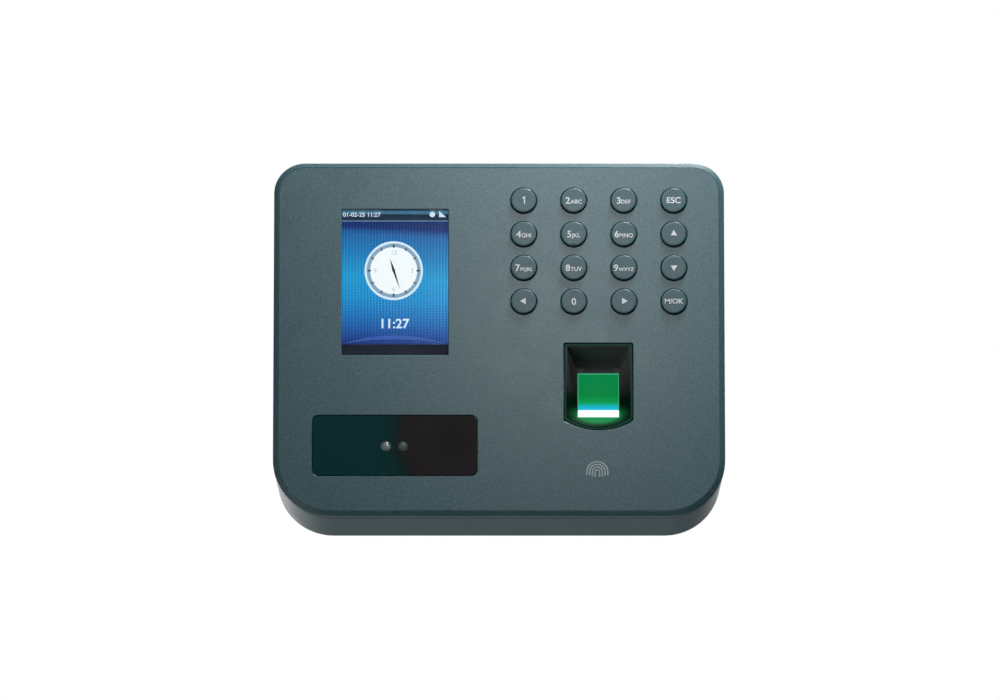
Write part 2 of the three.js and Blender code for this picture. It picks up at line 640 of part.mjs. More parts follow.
// A network socket with its mouth down and a groove for the plug's latch.
function ethernetJack() {
  const { left, right, front, back, bottom } = ETHERNET;
  const inside = SOCKET_TOP - 3;
  const below = bottom - 6;
  const body = block([left, front, bottom], [right, back, SOCKET_TOP]);
  const mouth = block([left + 2.1, front + 1.8, below], [right - 2.1, back - 2.9, inside]);
  const latch = block([left + 5, back - 3.5, below], [right - 5, back - 1.1, inside]);
  return cut(body, [mouth, latch]);
}

function powerJack() {
  const { half, back, bottom, y, well, pin } = POWER_JACK;
  const body = block([-half, ON_BACK, bottom], [half, back, SOCKET_TOP]);
  return body.subtract(rodZ(0, y, well, bottom - 7, SOCKET_TOP - 3, 20))
    .add(rodZ(0, y, pin, bottom + 1, SOCKET_TOP - 2, 12));
}

function wiringTerminals() {
  const { left, pitch, ways, back, bottom } = TERMINALS;
  const body = block([left, ON_BACK, bottom], [left + ways * pitch, back, SOCKET_TOP]);
  const wires = Array.from({ length: ways }, (_, i) => left + (i + 0.5) * pitch);
  return cut(body, [
    ...wires.map((x) => block([x - 1.5, -14.6, bottom - 4], [x + 1.5, -11.4, -8])),
    ...wires.map((x) => rodY(x, -10, 1.7, back - 1.4, 0, 12)),
  ]);
}

function tamperPlunger() {
  const { x, z, stem, collar, front, collarFront } = TAMPER;
  return rodY(x, z, stem, front, -BRACKET.thickness - GAP)
    .add(rodY(x, z, collar, collarFront, RECESS_INSIDE - GAP));
}

function resetButton() {
  const { y, z, radius, collar, inner, outer } = SIDE_BUTTON;
  return rodX(y, z, radius, inner, outer, 12).add(rodX(y, z, collar, inner + 2.2, inner + 3.1, 12));
}

function resetSwitch() {
  const { inner, outer, half, back } = RESET_SWITCH;
  return block([inner, ON_BACK, SIDE_BUTTON.z - half], [outer, back, SIDE_BUTTON.z + half]);
}

// ---- The assembly ----

const PLASTIC = { color: 0x52656b, roughness: 0.55, metalness: 0.15 };
const KEY_PLASTIC = { color: 0x56686b, roughness: 0.45, metalness: 0.1 };
const BLACK_PLASTIC = { color: 0x0c100f, roughness: 0.35, metalness: 0 };
const CLEAR_PLASTIC = { color: 0xdfe8ee, roughness: 0.05, metalness: 0 };
const SMOKED_PLASTIC = { color: 0x0f2a2a, roughness: 0.08, metalness: 0 };
const SCREEN_GLASS = { color: 0x1a6fc8, roughness: 0.15, metalness: 0 };
const WHITE_PLASTIC = { color: 0xe8ecec, roughness: 0.5, metalness: 0 };
const GREEN_GLASS = { color: 0x0c8a48, roughness: 0.05, metalness: 0 };
const LENS_GLASS = { color: 0x9aa4a8, roughness: 0.1, metalness: 0 };
const CIRCUIT_BOARD = { color: 0x1c5a34, roughness: 0.5, metalness: 0 };
const SILICONE = { color: 0x8d9396, roughness: 0.8, metalness: 0 };
const STEEL = { color: 0xb4b8ba, roughness: 0.35, metalness: 0.9 };
const RIBBON_FILM = { color: 0xb5722a, roughness: 0.4, metalness: 0 };
const CONE_PAPER = { color: 0x202224, roughness: 0.9, metalness: 0 };
const TERMINAL_PLASTIC = { color: 0x2e7d4a, roughness: 0.5, metalness: 0 };

function piece(name, body, finish, position = [0, 0, 0], rotation = [0, 0, 0]) {
  const mesh = new THREE.Mesh(geometryOf(body), new THREE.MeshStandardMaterial(finish));
  mesh.name = name;
  mesh.position.set(...position);
  mesh.rotation.set(...rotation);
  return mesh;
}

function assembly(...members) {
  const group = new THREE.Group();
  group.add(...members);
  return group;
}

const caseScrews = CASE_SCREWS.map(([x, z], i) =>
  piece(`housing_screw_${i + 1}`, screw(CASE_SCREW_LENGTH), STEEL,
    [x, CASE_SCREW_TOP, z], [-Math.PI / 2, 0, 0]));

const casing = assembly(
  piece("front_cover", frontCover(), PLASTIC),
  piece("rear_housing", rearHousing(), PLASTIC),
  ...caseScrews,
);

const mounting = assembly(
  piece("wall_bracket", wallBracket(), STEEL),
  piece("bracket_screw", screw(LOCK_SCREW.length), STEEL, [0, LOCK_SCREW.y, LOCK_SCREW.top]),
);

const displaySlab = ({ width, height }, { front, back }) =>
  slab(DISPLAY.x, DISPLAY.z, width, height, front, back);
const display = assembly(
  piece("display_window", displaySlab(WINDOW, WINDOW), CLEAR_PLASTIC),
  piece("display_frame", displayFrame(), STEEL),
  piece("display_glass", displaySlab(GLASS, GLASS), SCREEN_GLASS),
  piece("display_backlight", displaySlab(GLASS, BACKLIGHT), WHITE_PLASTIC),
  piece("display_ribbon",
    ribbon(DISPLAY.x, DISPLAY_RIBBON.width,
      [BACKLIGHT.back + GAP, DISPLAY_RIBBON.from], [ON_FRONT, DISPLAY_RIBBON.to]),
    RIBBON_FILM),
);

const cameraPane = roundedSlab(CAMERA.x, CAMERA.z, CAMERA.width, CAMERA.height, CAMERA.radius,
  CAMERA_PANE.front, CAMERA_PANE.back);
const lensPlaces = LENS_OFFSETS.map((offset) => [CAMERA.x + offset, LENS_MOUNT, LENS_Z]);
const emitterPlaces = [-EMITTER_OFFSET, EMITTER_OFFSET].map((offset) =>
  [CAMERA.x + offset, CAMERA_BOARD.front - GAP, LENS_Z]);
const cameras = assembly(
  piece("camera_window", cameraPane, SMOKED_PLASTIC),
  piece("camera_board", cameraBoard(), CIRCUIT_BOARD),
  piece("visible_camera", cameraModule(), BLACK_PLASTIC, lensPlaces[0]),
  piece("infrared_camera", cameraModule(), BLACK_PLASTIC, lensPlaces[1]),
  piece("ir_led_left", emitter(), LENS_GLASS, emitterPlaces[0]),
  piece("ir_led_right", emitter(), LENS_GLASS, emitterPlaces[1]),
);

const keypad = assembly(
  ...keyPlaces.map(({ x, z, name }) => piece(name, keyCap(), KEY_PLASTIC, [x, FRONT - KEY_PROUD, z])),
  piece("keypad_mat", keypadMat(), SILICONE),
  piece("keypad_board", keypadBoard(), CIRCUIT_BOARD),
  piece("keypad_ribbon",
    ribbon(KEYPAD_RIBBON.x, KEYPAD_RIBBON.width,
      [KEYPAD_BOARD.back + GAP, KEYPAD_RIBBON.from], [ON_FRONT, KEYPAD_RIBBON.to]),
    RIBBON_FILM),
);

const sensorLens = rodY(READER.x, SENSOR_LENS.z, SENSOR_LENS.radius, SENSOR_LENS.front, SENSOR_LENS.back);
const sensorBoard = slab(READER.x, SENSOR.z, SENSOR.board, SENSOR.board,
  SENSOR_BOARD.front, SENSOR_BOARD.back);
const reader = assembly(
  piece("fingerprint_bezel", fingerprintBezel(), BLACK_PLASTIC),
  piece("fingerprint_prism", fingerprintPrism(), GREEN_GLASS),
  piece("sensor_light_bar", sensorLightBar(), WHITE_PLASTIC),
  piece("sensor_housing", sensorHousing(), BLACK_PLASTIC),
  piece("sensor_lens", sensorLens, LENS_GLASS),
  piece("sensor_board", sensorBoard, CIRCUIT_BOARD),
);

// A plain box on the main board's front.
const onBoardFront = ({ x, z, width, height, depth }) =>
  slab(x, z, width, height, ON_FRONT - depth, ON_FRONT);
const coinCell = rodY(COIN_CELL.x, COIN_CELL.z, COIN_CELL.radius, COIN_CELL.front, COIN_CELL.back, 24);
const tamperSwitch = slab(TAMPER.x, TAMPER.z, TAMPER_SWITCH.size, TAMPER_SWITCH.size,
  ON_BACK, TAMPER_SWITCH.back);
const electronics = assembly(
  piece("main_board", mainBoard(), CIRCUIT_BOARD),
  piece("processor_shield", onBoardFront(SHIELD), STEEL),
  piece("relay", onBoardFront(RELAY), BLACK_PLASTIC),
  piece("coin_cell", coinCell, STEEL),
  piece("coin_cell_clip", coinCellClip(), STEEL),
  piece("speaker_frame", speakerFrame(), STEEL),
  piece("speaker_cone", speakerCone(), CONE_PAPER, [CONE_X, SPEAKER.y, SPEAKER.z]),
  piece("usb_port", usbPort(), STEEL),
  piece("ethernet_jack", ethernetJack(), STEEL),
  piece("power_jack", powerJack(), BLACK_PLASTIC),
  piece("wiring_terminals", wiringTerminals(), TERMINAL_PLASTIC),
  piece("tamper_plunger", tamperPlunger(), WHITE_PLASTIC),
  piece("tamper_switch", tamperSwitch, BLACK_PLASTIC),
  piece("reset_button", resetButton(), BLACK_PLASTIC),
  piece("reset_switch", resetSwitch(), BLACK_PLASTIC),
);

const terminal = assembly(casing, mounting, display, cameras, keypad, reader, electronics);
terminal.name = "fingerprint_terminal";

export default terminal;
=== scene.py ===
"""The looks of the fingerprint terminal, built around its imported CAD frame.

Metres, +Z up. The front faces -Y and the wall is the plane y = 0.
"""
import json
from math import asin, cos, pi, radians, sin, tan

import bmesh
import bpy
from mathutils import Matrix, Vector


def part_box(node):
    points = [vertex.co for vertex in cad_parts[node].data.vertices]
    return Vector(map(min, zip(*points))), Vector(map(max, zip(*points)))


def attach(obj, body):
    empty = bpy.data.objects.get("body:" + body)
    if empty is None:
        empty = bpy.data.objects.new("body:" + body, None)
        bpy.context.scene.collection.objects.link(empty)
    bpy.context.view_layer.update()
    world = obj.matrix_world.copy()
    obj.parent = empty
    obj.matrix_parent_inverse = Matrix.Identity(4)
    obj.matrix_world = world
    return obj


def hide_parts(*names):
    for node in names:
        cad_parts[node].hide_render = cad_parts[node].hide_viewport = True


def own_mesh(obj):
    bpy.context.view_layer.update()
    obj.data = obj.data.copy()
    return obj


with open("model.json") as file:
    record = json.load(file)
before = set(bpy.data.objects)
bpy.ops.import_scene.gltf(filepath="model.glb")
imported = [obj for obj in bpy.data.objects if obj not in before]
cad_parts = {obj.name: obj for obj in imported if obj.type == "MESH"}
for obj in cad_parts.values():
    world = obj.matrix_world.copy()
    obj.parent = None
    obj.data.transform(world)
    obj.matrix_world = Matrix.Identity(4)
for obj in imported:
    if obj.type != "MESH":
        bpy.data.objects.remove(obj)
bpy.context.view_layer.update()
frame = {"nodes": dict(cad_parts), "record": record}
scene = bpy.context.scene
MM = 0.001


def mm(*lengths):
    """Millimetres as metres."""
    return tuple(length * MM for length in lengths)


# ---- Driving sizes, in metres ----

TOP_RADIUS = 12.5 * MM
BOTTOM_RADIUS = 23.5 * MM
BACK_BOTTOM_RADIUS = 24 * MM
CORNER_STEPS = 20
EDGE_WIDTH = 1.9 * MM
EDGE_SLOPE = radians(20)
EDGE_ROUND = 0.5 * MM
EDGE_STEPS = 6
GROOVE = 0.16 * MM
RIM_EDGE = 0.25 * MM
WALL = 2.2 * MM
PLATE = 2.4 * MM
BACK_WALL = 2.4 * MM
SEAM = 0.4 * MM
FRONT_DRAFT = 0.15 * MM
BACK_DRAFT = 1.5 * MM
CAMERA_CORNER = 2.7 * MM
DISPLAY_OPENING = mm(42.6, 60.5)

KEY_RADIUS = 5 * MM
KEY_GAP = 0.3 * MM
DOME_HEIGHT = 0.7 * MM
LEGEND_DEPTH = 0.06 * MM
LEGEND_WEIGHT = 0.02
KEYPAD_STAKES = (mm(1.2, 11), mm(1.2, 61.5), mm(60, 22.3), mm(60, 50.3))

# The finger opening and its floor: half the width, the top, the end of the sides, and the arc's sag.
READER_OPENING = mm(13.9, -1.7, -33.9, 4)
READER_FLOOR = mm(8.7, -6.6, -31.7, 0.8)
READER_CORNER = 0.9 * MM
READER_LIP = 1.4 * MM
# Half the width at the top and bottom, the height and the depth.
FINGERTIP_NOTCH = mm(4.6, 5.9, 4.4, 1.6)
GLASS_TOP_DEPTH = -30 * MM
GLASS_SLOPE = 0.242
GLOW_REACH = mm(13.5, 6.2)
SYMBOL_HEIGHT = -55 * MM

SCREEN_LAYER = 0.06 * MM
PICTURE_TILT = radians(3)
DIAL_STRETCH = 1.045
DIAL_RIM, DIAL_TRACK, DIAL_FACE = mm(11.7, 10.8, 9.4)

BRACKET_HALF_HEIGHT = 45 * MM
BRACKET_THICKNESS = 1.5 * MM
BRACKET_CLEARANCE = 2 * MM
TONGUE_HALF_WIDTH = 12 * MM
RECESS_DEPTH = 3 * MM
HOOK_SPREAD = 50 * MM
HOOK_HEIGHTS = mm(41.2, -35)
HOOK_REACH = 8 * MM
WALL_HOLE_SPREAD = mm(45, 30)
LOCK_SEAT = 69 * MM
# The low and high x, then the low and high z.
BAY = mm(-28, 40, -44, -2)
CABLE_HOLE = mm(-22, 36, -42, -22)

CAMERA_LENS = 450
CAMERA_ELEVATION = -15.6
CAMERA_TARGET = mm(0.38, -19, 0.6)
VIEW_WIDTH = 400.3 * MM
FLOOR_HEIGHT = -1.5
FLOOR_REACH = 8.0
# The room's broad glows: the way towards each, its core and edge in degrees, and its strength.
GLOWS = (
    ((-0.14, 0.904, 0.404), 13, 35, 1.6),
    ((0.0, 0.5, -0.866), 11, 33, 1.4),
    ((-0.612, -0.612, -0.5), 11, 33, 0.85),
)
# Each light's name, place, aim, size and power.
LIGHTS = (
    ("softbox", (0.03, -0.42, 0.12), (0.03, -0.02, 0), 0.06, 0.1),
    ("high_softbox", (0.03, -0.42, 0.3), (0.03, -0.02, 0), 0.06, 0.55),
    ("top_light", (0.12, -0.1, 0.35), (0.03, -0.02, 0), 0.1, 1.7),
)

# Each key's large figure or arrow, and its small letters.
KEY_LEGENDS = {
    "key_1": ("1", ""), "key_2": ("2", "ABC"), "key_3": ("3", "DEF"), "key_escape": ("", "ESC"),
    "key_4": ("4", "GHI"), "key_5": ("5", "JKL"), "key_6": ("6", "MNO"), "key_up": ("up", ""),
    "key_7": ("7", "PQRS"), "key_8": ("8", "TUV"), "key_9": ("9", "WXYZ"), "key_down": ("down", ""),
    "key_left": ("left", ""), "key_0": ("0", ""), "key_right": ("right", ""), "key_ok": ("", "M/OK"),
}
ARROW_TURNS = {"up": 0, "left": 90, "down": 180, "right": 270}
HOUSING_SCREWS = [f"housing_screw_{i}" for i in (1, 2, 3, 4)]


def place(node_name):
    """A CAD node's lowest corner, highest corner and centre."""
    low, high = (Vector(corner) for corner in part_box(node_name))
    return low, high, (low + high) / 2


COVER_LOW, COVER_HIGH, _ = place("front_cover")
HOUSING_LOW, HOUSING_HIGH, _ = place("rear_housing")
FRONT = COVER_LOW.y
BACK = HOUSING_HIGH.y
HALF_WIDTH = COVER_HIGH.x
HALF_HEIGHT = COVER_HIGH.z
COVER_RIM = HOUSING_LOW.y - SEAM


# ---- Materials ----

def srgb(*levels):
    """Linear colour from 0 to 255 display levels."""
    shares = [level / 255 for level in levels]
    return [s / 12.92 if s <= 0.04045 else ((s + 0.055) / 1.055) ** 2.4 for s in shares]


def shade(color, factor):
    return [channel * factor for channel in color]


def node(owner, kind, inputs=None, **settings):
    """A new shader node. Its inputs are set to values, or linked where they are other nodes' outputs."""
    tree = owner.node_tree
    made = tree.nodes.new("ShaderNode" + kind)
    for name, value in settings.items():
        setattr(made, name, value)
    for socket, value in (inputs or {}).items():
        if isinstance(value, bpy.types.NodeSocket):
            tree.links.new(value, made.inputs[socket])
        else:
            made.inputs[socket].default_value = value
    return made


def vector_math(owner, operation, *values, output="Vector"):
    return node(owner, "VectorMath", dict(enumerate(values)), operation=operation).outputs[output]


def number_math(owner, operation, *values):
    return node(owner, "Math", dict(enumerate(values)), operation=operation).outputs["Value"]


def position(made):
    """The point's own place on the object."""
    return node(made, "TexCoord").outputs["Object"]


def coordinate(made, axis):
    return node(made, "SeparateXYZ", {"Vector": position(made)}).outputs[axis]


def rescaled(owner, value, low, high, to_low=0.0, to_high=1.0, **settings):
    """A value brought from one range to another, and held between its limits."""
    limits = {"Value": value, "From Min": low, "From Max": high, "To Min": to_low, "To Max": to_high}
    return node(owner, "MapRange", limits, **settings).outputs["Result"]


def ramp(made, value, stops):
    """A colour that follows a value through stops of (position, colour)."""
    shades = node(made, "ValToRGB", {"Fac": value})
    elements = shades.color_ramp.elements
    while len(elements) < len(stops):
        elements.new(0.5)
    for element, (at, color) in zip(elements, stops):
        element.position = at
        element.color = (*color, 1)
    return shades.outputs["Color"]


def noise(made, size, detail=3.0, stretch=(1, 1, 1)):
    """Noise whose features are about a size across."""
    spot = node(made, "Mapping", {"Vector": position(made), "Scale": stretch}).outputs["Vector"]
    inputs = {"Vector": spot, "Scale": 1 / size, "Detail": detail, "Roughness": 0.6}
    return node(made, "TexNoise", inputs).outputs["Fac"]


def principled(name, color, roughness, values=None):
    """A new material with its even values on the shader's own sockets."""
    made = bpy.data.materials.new(name)
    made.use_nodes = True
    shader = made.node_tree.nodes["Principled BSDF"]
    shader.inputs["Base Color"].default_value = (*color, 1)
    shader.inputs["Roughness"].default_value = roughness
    for socket, value in (values or {}).items():
        shader.inputs[socket].default_value = value
    return made


def feed(made, socket, output):
    """Links an output to a socket of the material's shader."""
    shader = made.node_tree.nodes["Principled BSDF"]
    made.node_tree.links.new(output, shader.inputs[socket])
    return made


def mottle(made, size, dark, light, spread=0.25, detail=3.0):
    """Colour that varies between two shades in spots of a size."""
    stops = [(0.5 - spread, dark), (0.5 + spread, light)]
    return feed(made, "Base Color", ramp(made, noise(made, size, detail), stops))


def uneven_gloss(made, size, low, high):
    """Roughness that varies between two values in patches of a size."""
    patches = noise(made, size, 4.0)
    return feed(made, "Roughness", rescaled(made, patches, 0.3, 0.7, low, high))


def texture_bump(made, size, height, stretch=(1, 1, 1)):
    """A fine moulded or brushed texture of a height."""
    grain = noise(made, size, 2.0, stretch)
    relief = node(made, "Bump", {"Strength": 1.0, "Distance": height, "Height": grain})
    return feed(made, "Normal", relief.outputs["Normal"])


def plain_look(name, tone, roughness, spots=None, gloss=None, relief=None, values=None):
    """A material of one tone with spots, uneven gloss and relief, all three sized in millimetres."""
    made = principled(name, tone, roughness, values)
    if spots:
        size, *shades = spots
        dark, light = (shade(tone, each) if isinstance(each, float) else each for each in shades[:2])
        mottle(made, size * MM, dark, light, *shades[2:])
    if gloss:
        size, low, high = gloss
        uneven_gloss(made, size * MM, low, high)
    if relief:
        size, height, *stretch = relief
        texture_bump(made, size * MM, height * MM, *stretch)
    return made


CASE_COLOR = (0.073, 0.163, 0.19)
# Each plain look's name, tone, roughness, spots, gloss, relief and other values. Spots have a size and two
# shades, as colours or as shares of the tone. Gloss has a size and two roughnesses, relief a size and height.
PLAIN_LOOKS = (
    ("case_plastic", CASE_COLOR, 0.35, (0.7, 0.7, 1.3, 0.2, 4.0), (9, 0.32, 0.38), (0.35, 0.008),
     {"Specular IOR Level": 0.8}),
    ("key_plastic", shade(CASE_COLOR, 0.88), 0.38, (0.8, 0.82, 1.18), (4, 0.34, 0.42), (0.5, 0.004),
     {"Specular IOR Level": 0.55}),
    ("bracket_steel", srgb(196, 199, 198), 0.5, (5, 0.86, 1.04, 0.3, 5.0), (3, 0.44, 0.58), (0.8, 0.003),
     {"Metallic": 0.8}),
    ("screw_steel", srgb(190, 190, 186), 0.3, (1.5, 0.75, 1.0, 0.3), (0.8, 0.22, 0.45), None,
     {"Metallic": 1.0}),
    ("sheet_steel", srgb(196, 196, 192), 0.3, (2, 0.8, 1.0, 0.3), (1.5, 0.22, 0.4), (0.4, 0.003, (1, 1, 0.1)),
     {"Metallic": 1.0}),
    ("gold_plate", srgb(226, 186, 96), 0.25, (0.8, srgb(204, 162, 76), srgb(232, 194, 106)), None, None,
     {"Metallic": 1.0}),
    ("clear_window", srgb(238, 244, 246), 0.02, None, (12, 0.01, 0.035), None,
     {"Transmission Weight": 1.0, "IOR": 1.45}),
    ("black_plastic", srgb(14, 18, 17), 0.3, (2, srgb(10, 13, 12), srgb(20, 25, 23)), (3, 0.22, 0.36),
     (0.3, 0.003)),
    ("rim_plastic", srgb(22, 78, 60), 0.45, (2, 0.85, 1.15), None, (0.4, 0.003),
     {"Specular IOR Level": 0.15}),
    ("white_plastic", srgb(222, 224, 220), 0.45, (1.5, srgb(208, 210, 205), srgb(228, 230, 226)),
     (2, 0.38, 0.55)),
    ("circuit_board", srgb(20, 84, 48), 0.35, (3, srgb(12, 64, 36), srgb(26, 98, 58), 0.12, 6.0), None,
     (0.8, 0.01), {"Coat Weight": 0.3}),
    ("ribbon_film", srgb(176, 104, 34), 0.3, (2, srgb(150, 84, 24), srgb(190, 118, 44))),
    ("terminal_plastic", srgb(36, 122, 66), 0.4, (1.2, srgb(30, 108, 56), srgb(42, 134, 74)), None,
     (0.5, 0.006)),
    ("silicone", srgb(140, 146, 150), 0.7, (1.5, srgb(128, 134, 138), srgb(150, 156, 160)), None,
     (0.6, 0.01)),
    ("cone_paper", srgb(38, 40, 42), 0.9, (0.8, srgb(28, 30, 32), srgb(48, 50, 52)), None, (0.3, 0.03)),
    ("legend_ink", srgb(246, 250, 252), 0.5, (0.5, srgb(238, 244, 248), srgb(252, 254, 255))),
    ("silver_ink", srgb(176, 194, 202), 0.4, (0.6, 0.88, 1.08), None, None, {"Metallic": 0.2}),
    # The lens and lens_ring looks are painted light grey, a painted reflection for the shine on the left
    # lens; dim_lens and dim_lens_ring keep darker tones.
    ("lens", srgb(150, 158, 160), 0.05, (1.5, srgb(120, 130, 132), srgb(176, 184, 186)), None, None,
     {"Coat Weight": 1.0}),
    ("dim_lens", srgb(96, 114, 108), 0.35, (1.5, 0.8, 1.15), None, None, {"Specular IOR Level": 0.25}),
    ("lens_ring", srgb(84, 108, 110), 0.4, (0.6, 0.85, 1.1)),
    ("dim_lens_ring", srgb(56, 70, 68), 0.4, (0.6, 0.85, 1.1)),
)
# Each lit look's name, colour, strength, and the share of light in its darker spots.
LIT_LOOKS = (
    ("light_bar", srgb(240, 255, 252), 1.05, 0.95),
    ("screen_white", srgb(224, 242, 252), 1.0, 0.93),
    ("screen_face", srgb(253, 255, 255), 1.04, 0.97),
    ("screen_tick", srgb(52, 70, 86), 1.0, 0.8),
    ("screen_track", srgb(142, 172, 196), 1.0, 0.9),
    ("screen_gloss", srgb(78, 128, 158), 1.0, 0.7),
    ("screen_faint", srgb(206, 216, 216), 1.0, 0.93),
    ("screen_dark", srgb(14, 16, 30), 1.0, 0.7),
    ("screen_bar", srgb(34, 52, 78), 1.0, 0.5),
    ("screen_line", srgb(150, 190, 225), 1.0, 0.8),
    ("screen_glow", srgb(60, 96, 180), 1.0, 0.8),
)


def glowing(name, color, strength, light_share):
    """A lit surface whose brightness varies a little over it."""
    made = principled(name, shade(color, 0.3), 0.4, {"Emission Strength": strength})
    stops = [(0.3, shade(color, light_share)), (0.7, color)]
    return feed(made, "Emission Color", ramp(made, noise(made, 4 * MM, 2.0), stops))


def smoked_acrylic():
    """Dark glossy acrylic: brown-black round a point on its right, deep teal past a curved border."""
    low, _, middle = place("camera_window")
    reach = 34 * MM
    made = principled("smoked_window", srgb(16, 42, 42), 0.08, {"Specular IOR Level": 0.35})
    brown_middle = (middle.x + 24 * MM, low.y, middle.z + 3 * MM)
    away = vector_math(made, "DISTANCE", position(made), brown_middle, output="Value")
    stops = [(0.0, srgb(46, 43, 43)), (0.36, srgb(52, 50, 52)), (0.6, srgb(52, 47, 50)),
             (0.69, srgb(36, 52, 52)), (0.78, srgb(28, 64, 64)), (1.0, srgb(26, 68, 71))]
    feed(made, "Base Color", ramp(made, rescaled(made, away, 0, reach), stops))
    return uneven_gloss(made, 15 * MM, 0.05, 0.1)


def sensor_glass():
    """Dark green glass painted with a glow: painted green light, painted cyan light just above its light bar,
    and painted highlights along its top and side edges.
    """
    low, high, middle = place("fingerprint_prism")
    values = {"Specular IOR Level": 0.02, "Emission Strength": 1.0}
    made = principled("sensor_glass", srgb(4, 40, 22), 0.4, values)
    # Painted light up the glass: the bar's cyan light at the foot, a green glow over the middle, and a
    # painted highlight along the top edge.
    stops = [(0.0, srgb(60, 195, 225)), (0.02, srgb(36, 182, 216)), (0.1, srgb(20, 176, 186)),
             (0.15, srgb(14, 166, 120)), (0.2, srgb(12, 150, 72)), (0.4, srgb(6, 128, 64)),
             (0.95, srgb(8, 130, 70)), (0.98, srgb(70, 160, 120))]
    body = ramp(made, rescaled(made, coordinate(made, "Z"), low.z, high.z), stops)
    across = number_math(made, "ABSOLUTE", number_math(made, "SUBTRACT", coordinate(made, "X"), middle.x))
    half = (high.x - low.x) / 2
    # The edge mask paints highlights along the side edges.
    edge = rescaled(made, across, half - 0.35 * MM, half - 0.1 * MM)
    # A colour mix has its factor, first and second colour at 0, 6 and 7, and its colour at output 2.
    lit = node(made, "Mix", {0: edge, 6: body, 7: (*srgb(70, 176, 124), 1)}, data_type="RGBA")
    feed(made, "Emission Color", lit.outputs[2])
    return uneven_gloss(made, 6 * MM, 0.36, 0.44)


def screen_grid(made, color):
    """Fine upright and level lines over a picture's colour."""
    for axis, period, depth in (("X", 1.25 * MM, 0.26), ("Z", 1.1 * MM, 0.12)):
        inputs = {"Vector": position(made), "Scale": pi / 10 / period}
        lines = node(made, "TexWave", inputs, bands_direction=axis).outputs["Fac"]
        color = vector_math(made, "MULTIPLY", color, rescaled(made, lines, 0, 1, 1 - depth, 1 + depth))
    return color


def screen_picture():
    """The display's lit wallpaper: navy at the top, bright blue across the middle, violet low down."""
    low, high, middle = place("display_glass")
    made = principled("screen", srgb(4, 8, 20), 0.25, {"Emission Strength": 1.0})
    tilted = node(made, "Mapping", {"Vector": position(made), "Rotation": (0, -PICTURE_TILT, 0)})
    height = node(made, "SeparateXYZ", {"Vector": tilted.outputs["Vector"]}).outputs["Z"]
    shift = middle.x * sin(PICTURE_TILT)
    stops = [(0.0, srgb(30, 36, 104)), (0.14, srgb(36, 58, 130)), (0.22, srgb(36, 92, 168)),
             (0.31, srgb(36, 124, 196)), (0.42, srgb(36, 152, 216)), (0.54, srgb(38, 162, 219)),
             (0.66, srgb(36, 135, 199)), (0.79, srgb(40, 108, 174)), (0.83, srgb(34, 58, 120)),
             (1.0, srgb(12, 14, 50))]
    colors = ramp(made, rescaled(made, height, low.z + shift, high.z + shift), stops)
    return feed(made, "Emission Color", screen_grid(made, colors))


def recess_plastic():
    """Satin black plastic with painted light: a painted green glow where the light bar spills on to it, and
    painted shade and light that make it dark green low down and lighter grey towards the top.
    """
    bar = place("sensor_light_bar")[2]
    low, high, _ = place("fingerprint_bezel")
    values = {"Specular IOR Level": 0.03, "Emission Strength": 1.0}
    made = principled("recess_plastic", srgb(30, 29, 31), 0.55, values)
    # The emission paints the light bar's green glow as it spills on to the plastic.
    offset = vector_math(made, "SUBTRACT", position(made), (bar.x, 0, bar.z - 0.6 * MM))
    scaled = vector_math(made, "MULTIPLY", offset, (1 / GLOW_REACH[0], 0, 1 / GLOW_REACH[1]))
    away = vector_math(made, "LENGTH", scaled, output="Value")
    spill = [(0.0, srgb(30, 150, 86)), (0.55, srgb(22, 134, 74)), (0.72, srgb(6, 74, 36)),
             (0.88, srgb(1, 30, 13)), (1.0, (0, 0, 0))]
    feed(made, "Emission Color", ramp(made, away, spill))
    # Painted light and shade by height: dark with a green tint low down, lighter grey towards the top.
    height = rescaled(made, coordinate(made, "Z"), low.z, high.z)
    painted_light_by_height = [(0.0, srgb(2, 22, 10)), (0.4, srgb(6, 26, 16)), (0.55, srgb(66, 60, 66)),
             (1.0, srgb(98, 104, 104))]
    feed(made, "Base Color", ramp(made, height, painted_light_by_height))
    uneven_gloss(made, 3 * MM, 0.45, 0.55)
    return texture_bump(made, 0.3 * MM, 0.003 * MM)


def all_looks():
    """Every material that the pieces wear, by name."""
    looks = {row[0]: plain_look(*row) for row in PLAIN_LOOKS}
    looks.update({row[0]: glowing(*row) for row in LIT_LOOKS})
    looks.update(smoked_window=smoked_acrylic(), sensor_glass=sensor_glass(), screen=screen_picture(),
                 recess_plastic=recess_plastic())
    return looks


LOOKS = all_looks()


# ---- Mesh tools ----

def new_object(name, data):
    made = bpy.data.objects.new(name, data)
    scene.collection.objects.link(made)
    return made


def smooth_by_angle(mesh, degrees=32):
    """Smooth faces, with every edge sharper than an angle kept crisp."""
    bm = bmesh.new()
    bm.from_mesh(mesh)
    limit = radians(degrees)
    for face in bm.faces:
        face.smooth = True
    for edge in bm.edges:
        edge.smooth = len(edge.link_faces) == 2 and edge.calc_face_angle(0) < limit
    bm.to_mesh(mesh)
    bm.free()


def object_of(name, bm):
    """A new object from a bmesh, its faces turned outwards."""
    bmesh.ops.recalc_face_normals(bm, faces=bm.faces)
    mesh = bpy.data.meshes.new(name)
    bm.to_mesh(mesh)
    bm.free()
    smooth_by_angle(mesh)
    return new_object(name, mesh)


def loft(name, rings):
    """A closed solid through rings of points that all have the same count."""
    bm = bmesh.new()
    loops = [[bm.verts.new(point) for point in ring] for ring in rings]
    for near, far in zip(loops, loops[1:]):
        for i, vertex in enumerate(near):
            following = (i + 1) % len(near)
            bm.faces.new((vertex, near[following], far[following], far[i]))
    bm.faces.new(loops[0])
    bm.faces.new(loops[-1])
    return object_of(name, bm)


